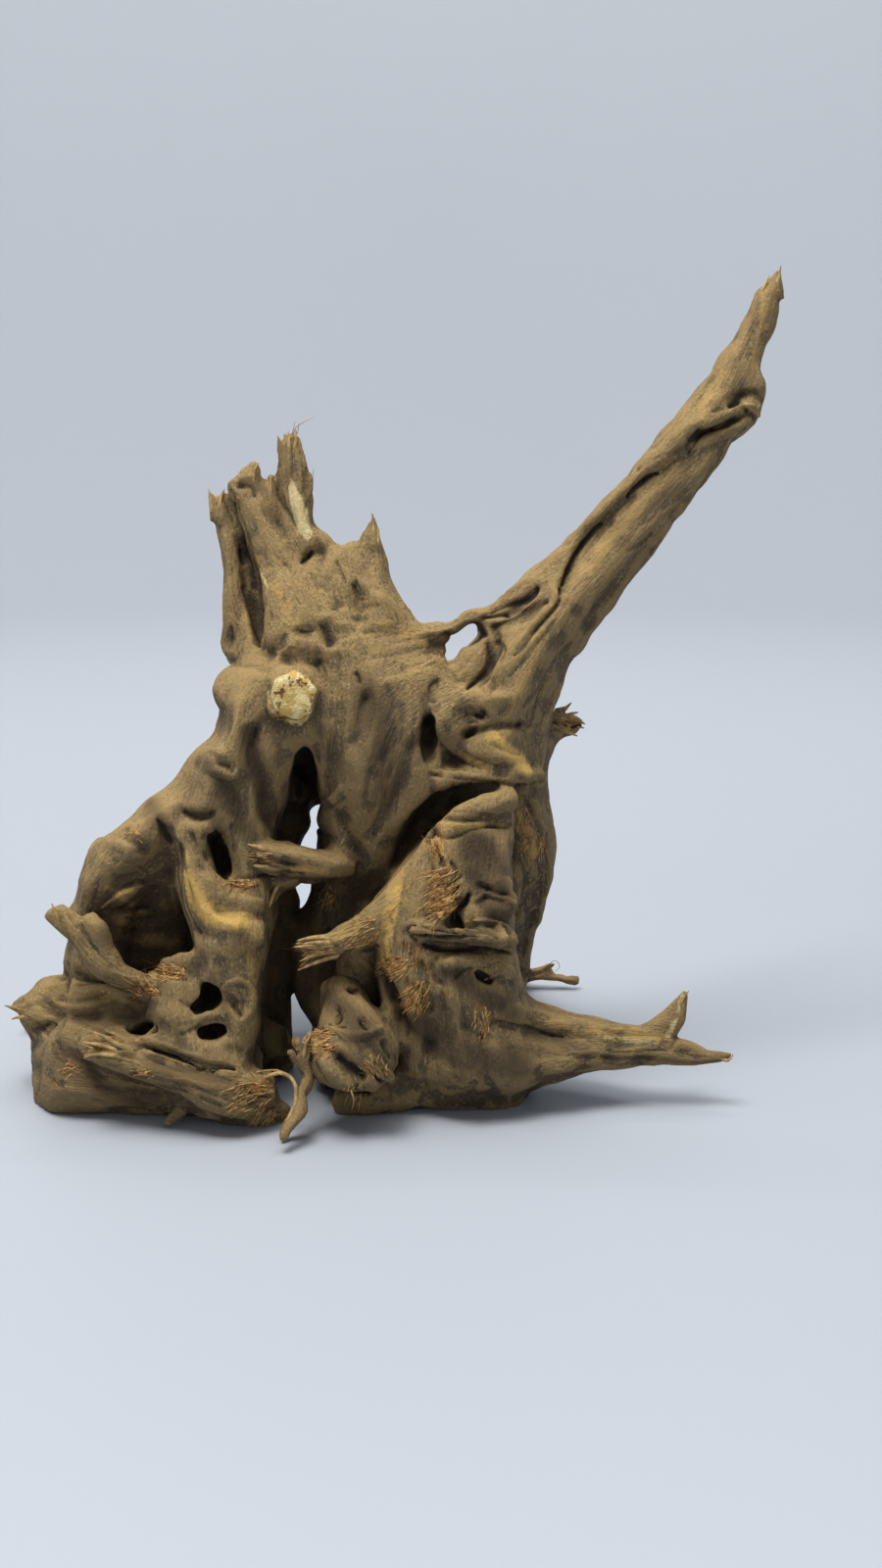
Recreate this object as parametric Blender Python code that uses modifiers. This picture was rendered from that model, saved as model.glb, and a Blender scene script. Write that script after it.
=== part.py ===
"""Horn driftwood: one weathered root stump with a long horn, a splintered crown and a spread of root legs.

Every limb is a loft through stations read from one viewing place: the eye is about a metre in front of the
wood and looks 12 degrees down. A station gives across, up and depth in millimetres on a board square to that
line of sight, then the half width seen from the eye and the half depth along it.
"""

import math

import bmesh
import bpy
import numpy as np
from mathutils import Matrix, Vector
from mathutils.bvhtree import BVHTree

# Driving dimensions, in millimetres.
EYE_DISTANCE = 1022.0
LOOK_DOWN = math.radians(12)
EYE_ACROSS = 25.0
EYE_UP = 168.0
# The middle of the foot print, which is moved to the origin.
SHIFT_X = -2.8
SHIFT_Y = 92.4
RING_SIDES = 20
STEP_ALONG = 5.0
THINNEST = 0.6
VOXEL = 2.0
HOLLOW_VOXEL = 1.4
# Rises and dips over the whole surface: their size and their full height.
ROT = ((30.0, 5.0), (11.0, 2.5))
FLOOR_SLAB = 500.0
TRIANGLES = 11400
# Rounds of smoothing before and after the carving, and their pull in and push back out.
SOFTEN_STEPS = 6
CARVED_STEPS = 2
SOFTEN_IN = 0.6
SOFTEN_OUT = -0.56
STROKE_STEPS = 6
FAR_OFF = 9.0
TINY = 1e-9
MM = 0.001

ACROSS = Vector((1, 0, 0))
UP = Vector((0, math.sin(LOOK_DOWN), math.cos(LOOK_DOWN)))
AWAY = Vector((0, math.cos(LOOK_DOWN), -math.sin(LOOK_DOWN)))


def place(across, up, depth):
    """The point seen at across and up on the board, depth behind it."""
    eye = ACROSS * EYE_ACROSS + UP * EYE_UP - AWAY * EYE_DISTANCE
    ray = ACROSS * (across - EYE_ACROSS) + UP * (up - EYE_UP) + AWAY * EYE_DISTANCE
    return (eye + ray * (1 + depth / EYE_DISTANCE) - Vector((SHIFT_X, SHIFT_Y, 0))) * MM


def curve_through(rows, t):
    """Catmull-Rom interpolation of a list of number tuples at t, counted in stations."""
    last = len(rows) - 1
    i = min(int(t), last - 1)
    f = t - i
    a, b, c, d = (rows[max(0, min(last, i + k))] for k in (-1, 0, 1, 2))
    out = []
    for p, q, r, s in zip(a, b, c, d):
        out.append(q + 0.5 * f * (r - p + f * (2 * p - 5 * q + 4 * r - s + f * (3 * (q - r) + s - p))))
    return out


def signed_power(value, power):
    """The value to a power, with its sign kept."""
    return math.copysign(abs(value) ** power, value)


def loft(bm, stations, ridges=0.0, square=1.0):
    """One closed limb of rings through the stations.

    Ridges run along the limb as a share of its half depth, and a square under 1 makes the ring boxy.
    """
    samples = []
    for i in range(len(stations) - 1):
        length = (place(*stations[i][:3]) - place(*stations[i + 1][:3])).length
        steps = max(2, round(length / (STEP_ALONG * MM)))
        samples += [i + k / steps for k in range(steps)]
    samples.append(float(len(stations) - 1))
    rows = [curve_through(stations, t) for t in samples]
    points = [place(*row[:3]) for row in rows]
    rings = []
    for i, (row, point) in enumerate(zip(rows, points)):
        tangent = (points[min(i + 1, len(points) - 1)] - points[max(i - 1, 0)]).normalized()
        side = tangent.cross(AWAY)
        # A limb that runs along the sight line has no side of its own.
        side = side.normalized() if side.length > 0.25 else ACROSS
        back = side.cross(tangent).normalized()
        grow = (1 + row[2] / EYE_DISTANCE) * MM
        wide = max(row[3], THINNEST) * grow
        deep = max(row[4], THINNEST) * grow
        ring = []
        for k in range(RING_SIDES):
            angle = 2 * math.pi * k / RING_SIDES
            # Three broad ridges and five narrow ones, which wind slowly round the limb in opposite ways.
            wave = math.sin(3 * angle + 0.1 * i) + 0.7 * math.sin(5 * angle - 0.07 * i)
            swell = 1 + ridges * math.sin(angle) ** 2 * wave
            offset = side * signed_power(math.cos(angle), square) * wide
            offset += back * signed_power(math.sin(angle), square) * deep * swell
            ring.append(bm.verts.new(point + offset))
        rings.append(ring)
    for a, b in zip(rings, rings[1:]):
        for k in range(RING_SIDES):
            n = (k + 1) % RING_SIDES
            bm.faces.new((a[k], a[n], b[n], b[k]))
    for ring in (rings[0], rings[-1]):
        bm.faces.new(ring if ring is rings[-1] else ring[::-1])


def horn(bm):
    """The long horn, which leans out to the right and ends in a lip over the root block."""
    horn_limb = [
        (199, 431.5, 30, 2, 4),
        (195.5, 425, 30, 4, 6),
        (191.5, 416, 28, 6, 8),
        (188.5, 405.5, 28, 7, 9),
        (182.5, 392.5, 27, 8, 11),
        (178, 382.5, 26, 11, 13),
        (174.5, 372.5, 25, 15.5, 14),
        (171, 362, 25, 17.5, 15),
        (163, 353, 24, 15.5, 16),
        (155.5, 345.5, 23, 14.5, 17),
        (147.5, 335.5, 22, 15.5, 18),
        (134, 316, 20, 17, 19),
        (115.5, 294.5, 17, 19, 20),
        (101, 276, 14, 20, 22),
        (85.5, 260, 12, 22.5, 24),
        (70.5, 244, 12, 25.5, 27),
        (59, 223, 12, 29, 30),
        (51, 203, 13, 30, 31),
        (49, 187, 14, 30.5, 30),
        (48, 176, 15, 30, 26),
        (48, 170.5, 16, 28, 20),
    ]
    loft(bm, horn_limb, ridges=0.16)
    lip = [
        (18, 166, 0, 3.5, 8),
        (28, 169.5, -4, 5.5, 12),
        (46, 173.5, -6, 6.5, 14),
        (64, 174, -2, 6, 14),
        (74, 173, 6, 4.5, 12),
    ]
    loft(bm, lip, ridges=0.06)


def trunk(bm):
    """The short trunk, with the neck that carries the horn and the thin strand that bridges to it."""
    trunk_limb = [
        (-50, 295.5, 12, 13, 11),
        (-50, 280.5, 10, 20, 17),
        (-49, 262, 8, 26, 25),
        (-44, 240.5, 8, 36, 32),
        (-40, 220.5, 10, 46, 38),
        (-39, 200.5, 12, 48, 42),
        (-41, 180.5, 26, 40, 34),
    ]
    loft(bm, trunk_limb, ridges=0.06)
    neck = [
        (-25, 240.5, 10, 26, 30),
        (-7.5, 220.5, 12, 31, 36),
        (12.5, 205.5, 14, 31, 36),
        (35, 198, 16, 26, 32),
    ]
    loft(bm, neck, ridges=0.06)
    under_horn = [
        (32.5, 200.5, 34, 30, 28),
        (38, 168, 46, 29, 22),
        (43, 133, 54, 25, 20),
        (45, 103, 60, 20, 18),
    ]
    loft(bm, under_horn, ridges=0.06)
    bridge = [
        (-7.5, 240.5, 8, 12, 18),
        (12.5, 243, 6, 6.5, 12),
        (27.5, 248, 4, 4, 8),
        (41, 254, 4, 3.5, 6.5),
        (56, 262, 6, 5, 9),
        (72.5, 270.5, 8, 6.5, 11),
        (90, 283, 10, 8, 13),
    ]
    loft(bm, bridge, ridges=0.06)
    hole_lower_lip = [
        (0, 221, 10, 12, 18),
        (20, 219, 8, 9, 14),
        (37, 225.5, 6, 7.5, 12),
        (50, 236, 6, 6, 10),
        (60, 250, 8, 5.5, 10),
        (74, 263, 10, 7, 10),
    ]
    loft(bm, hole_lower_lip, ridges=0.06)
    back_trunk = [
        (-39, 248, 34, 26, 24),
        (-37, 218, 54, 31, 26),
        (-37, 188, 74, 26, 24),
        (-39, 160.5, 86, 17, 18),
    ]
    loft(bm, back_trunk, ridges=0.16)


def crown(bm):
    """The crown: what is left of the stem, rotted into upright splinters."""
    crown_back = [
        (-72, 298, 18, 7, 6),
        (-69, 278, 18, 12, 8),
        (-67, 248, 16, 16, 12),
    ]
    loft(bm, crown_back, ridges=0.06)
    left_spike = [
        (-78.5, 234, 12, 7, 14),
        (-80.5, 258, 10, 6, 12),
        (-81, 280.5, 10, 5, 9),
        (-85, 300.5, 10, 5, 7),
        (-88.5, 315, 10, 5, 5),
    ]
    loft(bm, left_spike, ridges=0.06)
    second_spike = [
        (-57.5, 282, 6, 13, 14),
        (-68.5, 302, 6, 9, 11),
        (-72.5, 315, 6, 8, 8),
        (-74, 322.5, 6, 7, 7),
        (-71.5, 329.5, 6, 3, 4),
    ]
    loft(bm, second_spike, ridges=0.06)
    tiny_spike = [
        (-58, 303, 8, 6, 8),
        (-60.5, 315.5, 9, 3.5, 5),
        (-62, 324, 9, 1, 2),
    ]
    loft(bm, tiny_spike)
    tall_spike = [
        (-43, 287, 8, 13, 14),
        (-48, 308, 8, 8.5, 11),
        (-50, 323, 8, 8.5, 9),
        (-51, 335.5, 8, 6, 8),
        (-52, 346, 8, 3.5, 5),
    ]
    loft(bm, tall_spike, ridges=0.06)
    right_spike = [
        (-6, 248, 8, 19, 22),
        (-9, 269, 8, 12.5, 15),
        (-10.5, 285.5, 8, 8, 9),
        (-10, 295.5, 8, 5, 6),
        (-9.5, 305, 8, 1, 2.5),
    ]
    loft(bm, right_spike, ridges=0.06)
    right_shoulder = [
        (-27.5, 255.5, 6, 15, 20),
        (-27, 278, 6, 11, 14),
        (-25, 290, 6, 4.5, 6),
    ]
    loft(bm, right_shoulder, ridges=0.06)


def cut_stub(bm):
    """A branch that was sawn off short, towards the viewing side."""
    cut_branch = [
        (-54, 223, 8, 15.5, 16),
        (-52.5, 217.5, -14, 14, 14.5),
        (-51, 213.5, -34, 13, 13.5),
        (-50.5, 212, -47, 12.5, 13),
    ]
    loft(bm, cut_branch)


def left_leg(bm):
    """The thick root that swings down to the left, around a deep pocket."""
    thigh = [
        (-61, 218, 8, 26, 36),
        (-69, 195.5, 6, 27, 40),
        (-77.5, 173, 4, 27.5, 40),
        (-85, 150.5, 0, 26, 38),
        (-87, 128, -2, 24, 36),
        (-83, 105.5, -4, 23, 36),
        (-82, 85.5, -6, 20, 34),
        (-85, 65.5, -8, 18, 30),
    ]
    loft(bm, thigh, ridges=0.12)
    knuckle_branch = [
        (-77, 178, 6, 18, 34),
        (-99, 158, 6, 19, 34),
        (-117, 141, 4, 17.5, 32),
        (-133.5, 127.5, 6, 17.5, 30),
        (-144, 111, 14, 16, 26),
        (-148, 93, 22, 16, 24),
        (-148, 73, 28, 18, 26),
    ]
    loft(bm, knuckle_branch, ridges=0.06)
    knuckle = [
        (-116, 147, -12, 9, 14),
        (-129, 137, -16, 12, 18),
        (-136, 127, -10, 9, 14),
    ]
    loft(bm, knuckle, ridges=0.06)
    pocket_wall = [
        (-111, 134, 4, 22, 20),
        (-119, 114, 20, 28, 18),
        (-122.5, 93, 34, 30, 18),
        (-125, 68, 44, 31, 18),
    ]
    loft(bm, pocket_wall, ridges=0.06)
    outer_plate = [
        (-145, 137, 26, 6, 12),
        (-149.5, 128, 30, 7.5, 16),
        (-150.5, 115.5, 32, 10, 20),
        (-152.5, 95.5, 34, 12, 22),
        (-152.5, 73, 38, 16, 26),
    ]
    loft(bm, outer_plate, ridges=0.06)
    slot_rim = [
        (-107, 147, -22, 5, 9),
        (-105, 128, -24, 4.5, 9),
        (-102, 110.5, -26, 5, 10),
        (-95, 97, -28, 7, 12),
        (-81, 95, -28, 10, 14),
        (-71, 93, -22, 9, 14),
    ]
    loft(bm, slot_rim, ridges=0.06)
    ledge_mass = [
        (-80, 88, -14, 18, 24),
        (-81, 75.5, -16, 17, 22),
        (-77.5, 60.5, -18, 11, 18),
        (-76, 45.5, -18, 9, 16),
        (-82, 32, -16, 13, 16),
    ]
    loft(bm, ledge_mass, ridges=0.06)


def left_foot(bm):
    """The broad foot at the left, its torn tip, its fork and the cracked root across its front."""
    foot = [
        (-176, 37, 24, 23, 26),
        (-167, 34, 26, 33, 36),
        (-154, 34, 26, 34, 38),
        (-135, 33, 26, 33, 38),
        (-112.5, 31.5, 26, 32, 38),
        (-90, 28, 24, 30, 36),
        (-71, 23, 20, 25, 30),
    ]
    loft(bm, foot, ridges=0.1, square=0.6)
    torn_tip = [
        (-196, 54, 34, 1, 2),
        (-189, 55, 34, 5, 8),
        (-179, 55, 34, 13, 18),
        (-165, 50, 38, 22, 30),
    ]
    loft(bm, torn_tip, ridges=0.06)
    front_mass = [
        (-100, 75.5, -8, 18, 22),
        (-102, 62, -12, 22, 22),
        (-100, 45.5, -14, 26, 22),
        (-93, 28, -12, 24, 24),
        (-82.5, 14, -4, 22, 24),
    ]
    loft(bm, front_mass, ridges=0.06)
    upper_strand = [
        (-146, 40.5, -12, 3, 6),
        (-132.5, 40.5, -14, 6, 10),
        (-115, 37, -20, 9, 14),
        (-95, 31, -24, 10, 15),
        (-77.5, 25, -22, 9, 14),
    ]
    loft(bm, upper_strand, ridges=0.06)
    front_root = [
        (-158, 36.5, -16, 3, 5),
        (-148, 33, -20, 5.5, 9),
        (-130, 26.5, -26, 6.5, 12),
        (-110, 19.5, -28, 8.5, 14),
        (-92.5, 14, -28, 11, 16),
        (-75, 11, -24, 13, 16),
        (-61, 13, -18, 10, 12),
    ]
    loft(bm, front_root, ridges=0.06)
    fibrous_end = [
        (-97.5, 10, 4, 10, 18),
        (-80, 8, 0, 13, 22),
        (-65, 7, -2, 14, 24),
        (-56, 10, 0, 10, 18),
    ]
    loft(bm, fibrous_end, ridges=0.06)
    fork_main = [
        (-123, 65.5, -16, 4.5, 8),
        (-136, 69.5, -20, 6.5, 10),
        (-148, 77, -22, 7.5, 11),
        (-157, 88, -22, 6.5, 10),
        (-165, 98, -24, 6, 8),
        (-171, 105, -26, 5, 7),
    ]
    loft(bm, fork_main, ridges=0.06)
    fork_short = [
        (-143, 74, -22, 6, 9),
        (-147.5, 85.5, -25, 6, 8),
        (-151.5, 95.5, -27, 6, 7),
        (-155, 101, -27, 4.5, 5),
    ]
    loft(bm, fork_short, ridges=0.06)
    olive_lump = [
        (-69, 39, 40, 8, 14),
        (-61, 36, 36, 10.5, 16),
        (-58, 29, 34, 7, 12),
    ]
    loft(bm, olive_lump)


def tongue(bm):
    """The flat tongue of wood that hangs in the middle, with the stub that crosses the slot."""
    tongue_limb = [
        (-7, 223, 12, 30, 30),
        (-6, 203, 10, 33.5, 35),
        (-5, 185.5, 10, 33.5, 34),
        (-4.5, 168, 12, 32.5, 32),
        (-9, 148, 18, 28, 28),
        (-15, 128, 24, 21, 22),
        (-21, 112, 30, 13, 16),
        (-25, 95.5, 38, 7, 10),
    ]
    loft(bm, tongue_limb, ridges=0.08, square=0.8)
    cross_stub = [
        (-24, 126, 2, 8, 12),
        (-37.5, 127, -8, 7.5, 12),
        (-51, 129, -14, 7.5, 12),
        (-63, 131.5, -18, 6.5, 10),
        (-71, 135, -20, 3, 5),
    ]
    loft(bm, cross_stub, ridges=0.06)
    orange_splinter = [
        (-35, 119.5, 2, 3.5, 6),
        (-55, 119, -4, 3.5, 6),
        (-69, 117.5, -8, 3.5, 5),
        (-82, 118, -10, 1.5, 3),
    ]
    loft(bm, orange_splinter)


def root_block(bm):
    """The upright block of root at the right, its ridge and the knob in front of it."""
    block = [
        (42, 158, 8, 21, 22),
        (39, 145.5, 4, 23.5, 28),
        (34, 125.5, 0, 28, 30),
        (30, 105.5, -2, 34, 31),
        (28, 85.5, -2, 36.5, 32),
        (31, 63, 4, 36, 34),
        (35, 43, 14, 38, 36),
        (34, 25.5, 30, 38, 34),
        (31, 12, 42, 35, 30),
        (31, 4, 46, 31, 26),
    ]
    loft(bm, block, ridges=0.06, square=0.7)
    block_flank = [
        (1, 103, 22, 18, 18),
        (-5, 80.5, 24, 23, 18),
        (-8, 50.5, 24, 23, 20),
        (-9, 20.5, 20, 24, 22),
    ]
    loft(bm, block_flank, ridges=0.06, square=0.7)
    block_top = [
        (22, 145, -14, 7, 12),
        (33, 150, -16, 7.5, 14),
        (47.5, 157, -12, 9, 16),
        (58, 160, -6, 8, 14),
    ]
    loft(bm, block_top, ridges=0.06)
    block_ridge = [
        (19, 137, -10, 8.5, 14),
        (10, 122, -12, 9, 14),
        (1, 108, -14, 10, 14),
        (-12, 95.5, -18, 9, 13),
        (-25, 89, -20, 7.5, 12),
        (-35, 85, -22, 6.5, 11),
        (-46, 81, -24, 6.5, 10),
    ]
    loft(bm, block_ridge, ridges=0.06)
    snout = [
        (12, 93, -27, 3.5, 8),
        (25, 90, -30, 4.5, 9),
        (40, 89.5, -31, 5.5, 10),
        (56, 89, -28, 7, 12),
    ]
    loft(bm, snout, ridges=0.06)
    box_fold = [
        (44, 106, -24, 4.5, 8),
        (52.5, 109, -25, 7, 9),
        (59.5, 108, -20, 6.5, 10),
    ]
    loft(bm, box_fold, ridges=0.06)
    knob = [
        (-27, 67, -4, 9.5, 14),
        (-25, 55.5, -10, 12, 16),
        (-20, 40.5, -20, 17.5, 22),
        (-15, 28, -26, 19.5, 23),
        (-10, 18, -26, 13, 16),
    ]
    loft(bm, knob)
    middle_foot = [
        (15, 24, 24, 22, 28),
        (-2.5, 15, 14, 16, 24),
        (-19, 9, 10, 11, 20),
        (-27.5, 7, 10, 7, 14),
    ]
    loft(bm, middle_foot, ridges=0.06, square=0.7)


def right_leg(bm):
    """The root that reaches out to the right and forks at its tip."""
    right_leg_limb = [
        (25, 39, 10, 31, 36),
        (50, 33, 12, 25, 34),
        (72.5, 35, 13, 23, 26),
        (95, 36, 12, 16, 21),
        (112.5, 35.5, 11, 12, 15),
        (127.5, 34, 9, 8.5, 11),
        (142.5, 31.5, 7, 6, 8),
        (157.5, 28.5, 6, 4.5, 6),
        (171.5, 28.5, 5, 3.5, 5),
    ]
    loft(bm, right_leg_limb, ridges=0.12)
    right_fork = [
        (120, 36, 8, 7, 9),
        (132.5, 40, 8, 7.5, 8),
        (141, 47, 7, 6.5, 7),
        (145.5, 54, 6, 4.5, 6),
        (148, 62, 5, 3, 4),
    ]
    loft(bm, right_fork, ridges=0.06)


def back(bm):
    """The plate, twigs and legs behind."""
    back_plate = [
        (74, 195.5, 36, 9, 16),
        (69, 178, 46, 12.5, 20),
        (67.5, 160.5, 58, 13.5, 22),
        (68, 141.5, 76, 15.5, 24),
        (67.5, 118, 102, 13, 20),
        (66, 98, 132, 10, 16),
        (64.5, 80.5, 165, 6.5, 13),
        (63.5, 69, 196, 4.5, 10),
        (63, 65, 216, 4.5, 12),
    ]
    loft(bm, back_plate, ridges=0.22, square=0.8)
    back_twig = [
        (62, 67.5, 202, 3, 5),
        (74, 71.5, 200, 2.5, 4),
        (81.5, 75.5, 198, 2, 3.5),
    ]
    loft(bm, back_twig)
    back_twig_fork = [
        (73, 71, 200, 2, 3.5),
        (84, 69, 201, 2, 3),
        (93.5, 67.5, 202, 1.5, 2.5),
    ]
    loft(bm, back_twig_fork)
    right_stub = [
        (68, 192, 40, 11, 14),
        (81, 195.5, 42, 9, 11),
        (90, 198, 44, 6, 8),
        (98, 199.5, 45, 2, 3),
    ]
    loft(bm, right_stub, ridges=0.06)
    right_bulge = [
        (70, 180.5, 40, 9, 14),
        (76, 170.5, 44, 5.5, 12),
    ]
    loft(bm, right_bulge, ridges=0.06)
    inner_left = [
        (-50, 170.5, 62, 11, 20),
        (-52.5, 148, 62, 9, 18),
        (-56, 128, 62, 7, 16),
        (-57, 108, 62, 7.5, 16),
        (-57, 88, 62, 11, 16),
        (-59, 68, 62, 9, 14),
        (-60.5, 48, 64, 9.5, 14),
        (-61, 25.5, 66, 10, 16),
        (-61, 13, 66, 10, 16),
    ]
    loft(bm, inner_left, ridges=0.06)
    inner_right = [
        (-25, 143, 52, 12, 20),
        (-29, 120.5, 52, 11, 16),
        (-33, 100.5, 54, 13.5, 16),
        (-36.5, 83, 54, 14.5, 16),
        (-38, 68, 50, 12.5, 16),
        (-32, 50.5, 44, 9.5, 18),
        (-25, 30.5, 36, 12, 20),
        (-22, 18, 30, 13, 20),
    ]
    loft(bm, inner_right, ridges=0.06)
    slot_knob = [
        (-55, 168, 40, 8, 14),
        (-48, 165, 34, 7.5, 13),
        (-44, 162, 32, 6, 11),
    ]
    loft(bm, slot_knob)
    back_left_leg = [
        (-55, 248, 26, 18, 28),
        (-68, 208, 62, 22, 34),
        (-87, 168, 92, 21, 32),
        (-107, 128, 112, 17, 28),
        (-123, 93, 128, 13.5, 23),
        (-135, 65.5, 142, 11.5, 21),
        (-144, 43, 152, 14.5, 24),
    ]
    loft(bm, back_left_leg, ridges=0.26)
    back_mid_leg = [
        (-20, 238, 30, 21, 28),
        (1, 198, 66, 25, 34),
        (15, 158, 94, 20, 30),
        (19, 118, 120, 14.5, 25),
        (12, 83, 142, 12, 21),
        (4, 46, 160, 15, 24),
    ]
    loft(bm, back_mid_leg, ridges=0.26)
    back_cross_root = [
        (-107, 115.5, 112, 7.5, 13),
        (-80, 95.5, 120, 7.5, 13),
        (-45, 87, 118, 7, 12),
        (-12.5, 93, 124, 6.5, 12),
        (16, 105.5, 122, 7, 12),
    ]
    loft(bm, back_cross_root, ridges=0.2)
    back_stub = [
        (-66, 218, 60, 10, 13),
        (-74, 228, 96, 6.5, 8),
        (-80, 234, 124, 4.5, 5),
    ]
    loft(bm, back_stub, ridges=0.06)
    back_splinter = [
        (7.5, 215, 40, 13, 18),
        (12, 230, 60, 7, 9),
        (16, 239, 72, 2.5, 4),
    ]
    loft(bm, back_splinter, ridges=0.06)
    heel_root = [
        (-110, 115.5, 110, 10, 16),
        (-140, 88, 120, 7.5, 12),
        (-165, 63, 126, 5.5, 9),
        (-185, 48, 122, 3.5, 6),
    ]
    loft(bm, heel_root, ridges=0.06)


def rootlets(bm):
    """Thin rootlets that reach the ground in front."""
    front_twig = [
        (-42, 37, -26, 2, 3),
        (-41, 25.5, -28, 3.5, 5),
        (-43.5, 12, -32, 4, 6),
        (-49.5, -1, -36, 4, 6),
        (-55, -15.5, -38, 4, 6),
    ]
    loft(bm, front_twig)
    front_twig_root = [
        (-64, 19, -18, 2.5, 4),
        (-54, 19, -24, 2, 3.5),
        (-49, 12, -28, 2, 3),
        (-48.5, 4, -33, 2.5, 4),
    ]
    loft(bm, front_twig_root)
    small_leg = [
        (-100, 13, -8, 4.5, 7),
        (-106, 5, -14, 3, 5),
        (-112, -2.5, -19, 2.5, 4),
        (-118.5, -7, -22, 1, 2.5),
    ]
    loft(bm, small_leg)


def hollows(bm):
    """What rot has taken away: the slot, the hollow under the horn, pockets and see-through holes."""
    slot = [
        (-41, 194, -6, 1.5, 30),
        (-43, 185.5, -4, 4.5, 42),
        (-45, 168, -4, 7.5, 42),
        (-44.5, 153, -4, 6.5, 42),
        (-42.5, 142, -4, 4.5, 42),
        (-42, 138, -4, 2, 30),
    ]
    loft(bm, slot)
    lower_slot = [
        (-44, 118, 8, 3, 30),
        (-47, 110.5, 8, 8, 36),
        (-47, 93, 8, 12, 36),
        (-49, 68, 4, 14, 36),
        (-51.5, 48, 2, 13, 36),
        (-51.5, 28, 4, 9, 34),
        (-50, 8, 6, 8, 30),
    ]
    loft(bm, lower_slot)
    see_through = [
        (23, 230.5, 8, 2, 40),
        (28, 235.5, 8, 4, 40),
        (34, 240.5, 8, 5, 40),
        (40.5, 245, 8, 5.5, 40),
        (45.5, 247, 8, 4, 40),
    ]
    loft(bm, see_through)
    under_lip = [
        (61, 166.5, -14, 1.5, 10),
        (48, 166, -12, 3.5, 24),
        (35, 162.5, -10, 5.5, 28),
        (24, 157, -8, 6.5, 28),
        (14, 147, -8, 6.5, 26),
        (5.5, 134, -10, 5.5, 22),
        (-2.5, 121, -12, 4, 16),
        (-12.5, 108, -14, 2, 8),
    ]
    loft(bm, under_lip)
    oval_hole = [
        (18.5, 202, -26, 2.5, 10),
        (18, 190.5, -22, 5, 24),
        (18.5, 180, -26, 2.5, 10),
    ]
    loft(bm, oval_hole)
    leg_slot = [
        (-92, 145, -30, 3, 14),
        (-89.5, 137, -30, 4.5, 26),
        (-86.5, 127, -30, 4.5, 26),
        (-85, 119, -30, 2.5, 14),
    ]
    loft(bm, leg_slot)
    hole_1 = [
        (-108, 54.5, -34, 2, 10),
        (-101, 56, -30, 4.5, 18),
        (-94, 60, -30, 7, 24),
        (-89, 64, -32, 4, 14),
    ]
    loft(bm, hole_1)
    hole_2 = [
        (-98, 40.5, -36, 2.5, 10),
        (-91, 41, -32, 5, 18),
        (-85.5, 42, -34, 3, 12),
    ]
    loft(bm, hole_2)
    hole_3 = [
        (-133.5, 42, -24, 2, 8),
        (-128, 43, -22, 3.5, 14),
        (-122.5, 43.5, -24, 2, 8),
    ]
    loft(bm, hole_3)
    channel = [
        (-75, 298, -8, 2.5, 7),
        (-73, 287, -6, 3, 12),
        (-70, 268, -6, 4.5, 16),
        (-68, 248, -8, 5, 14),
        (-65, 236, -12, 3, 8),
    ]
    loft(bm, channel)
    behind_knob = [
        (-9, 75.5, -26, 3, 8),
        (-2, 65.5, -24, 5, 16),
        (4, 50.5, -24, 4.5, 16),
        (7, 35.5, -28, 2.5, 10),
    ]
    loft(bm, behind_knob)


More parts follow.
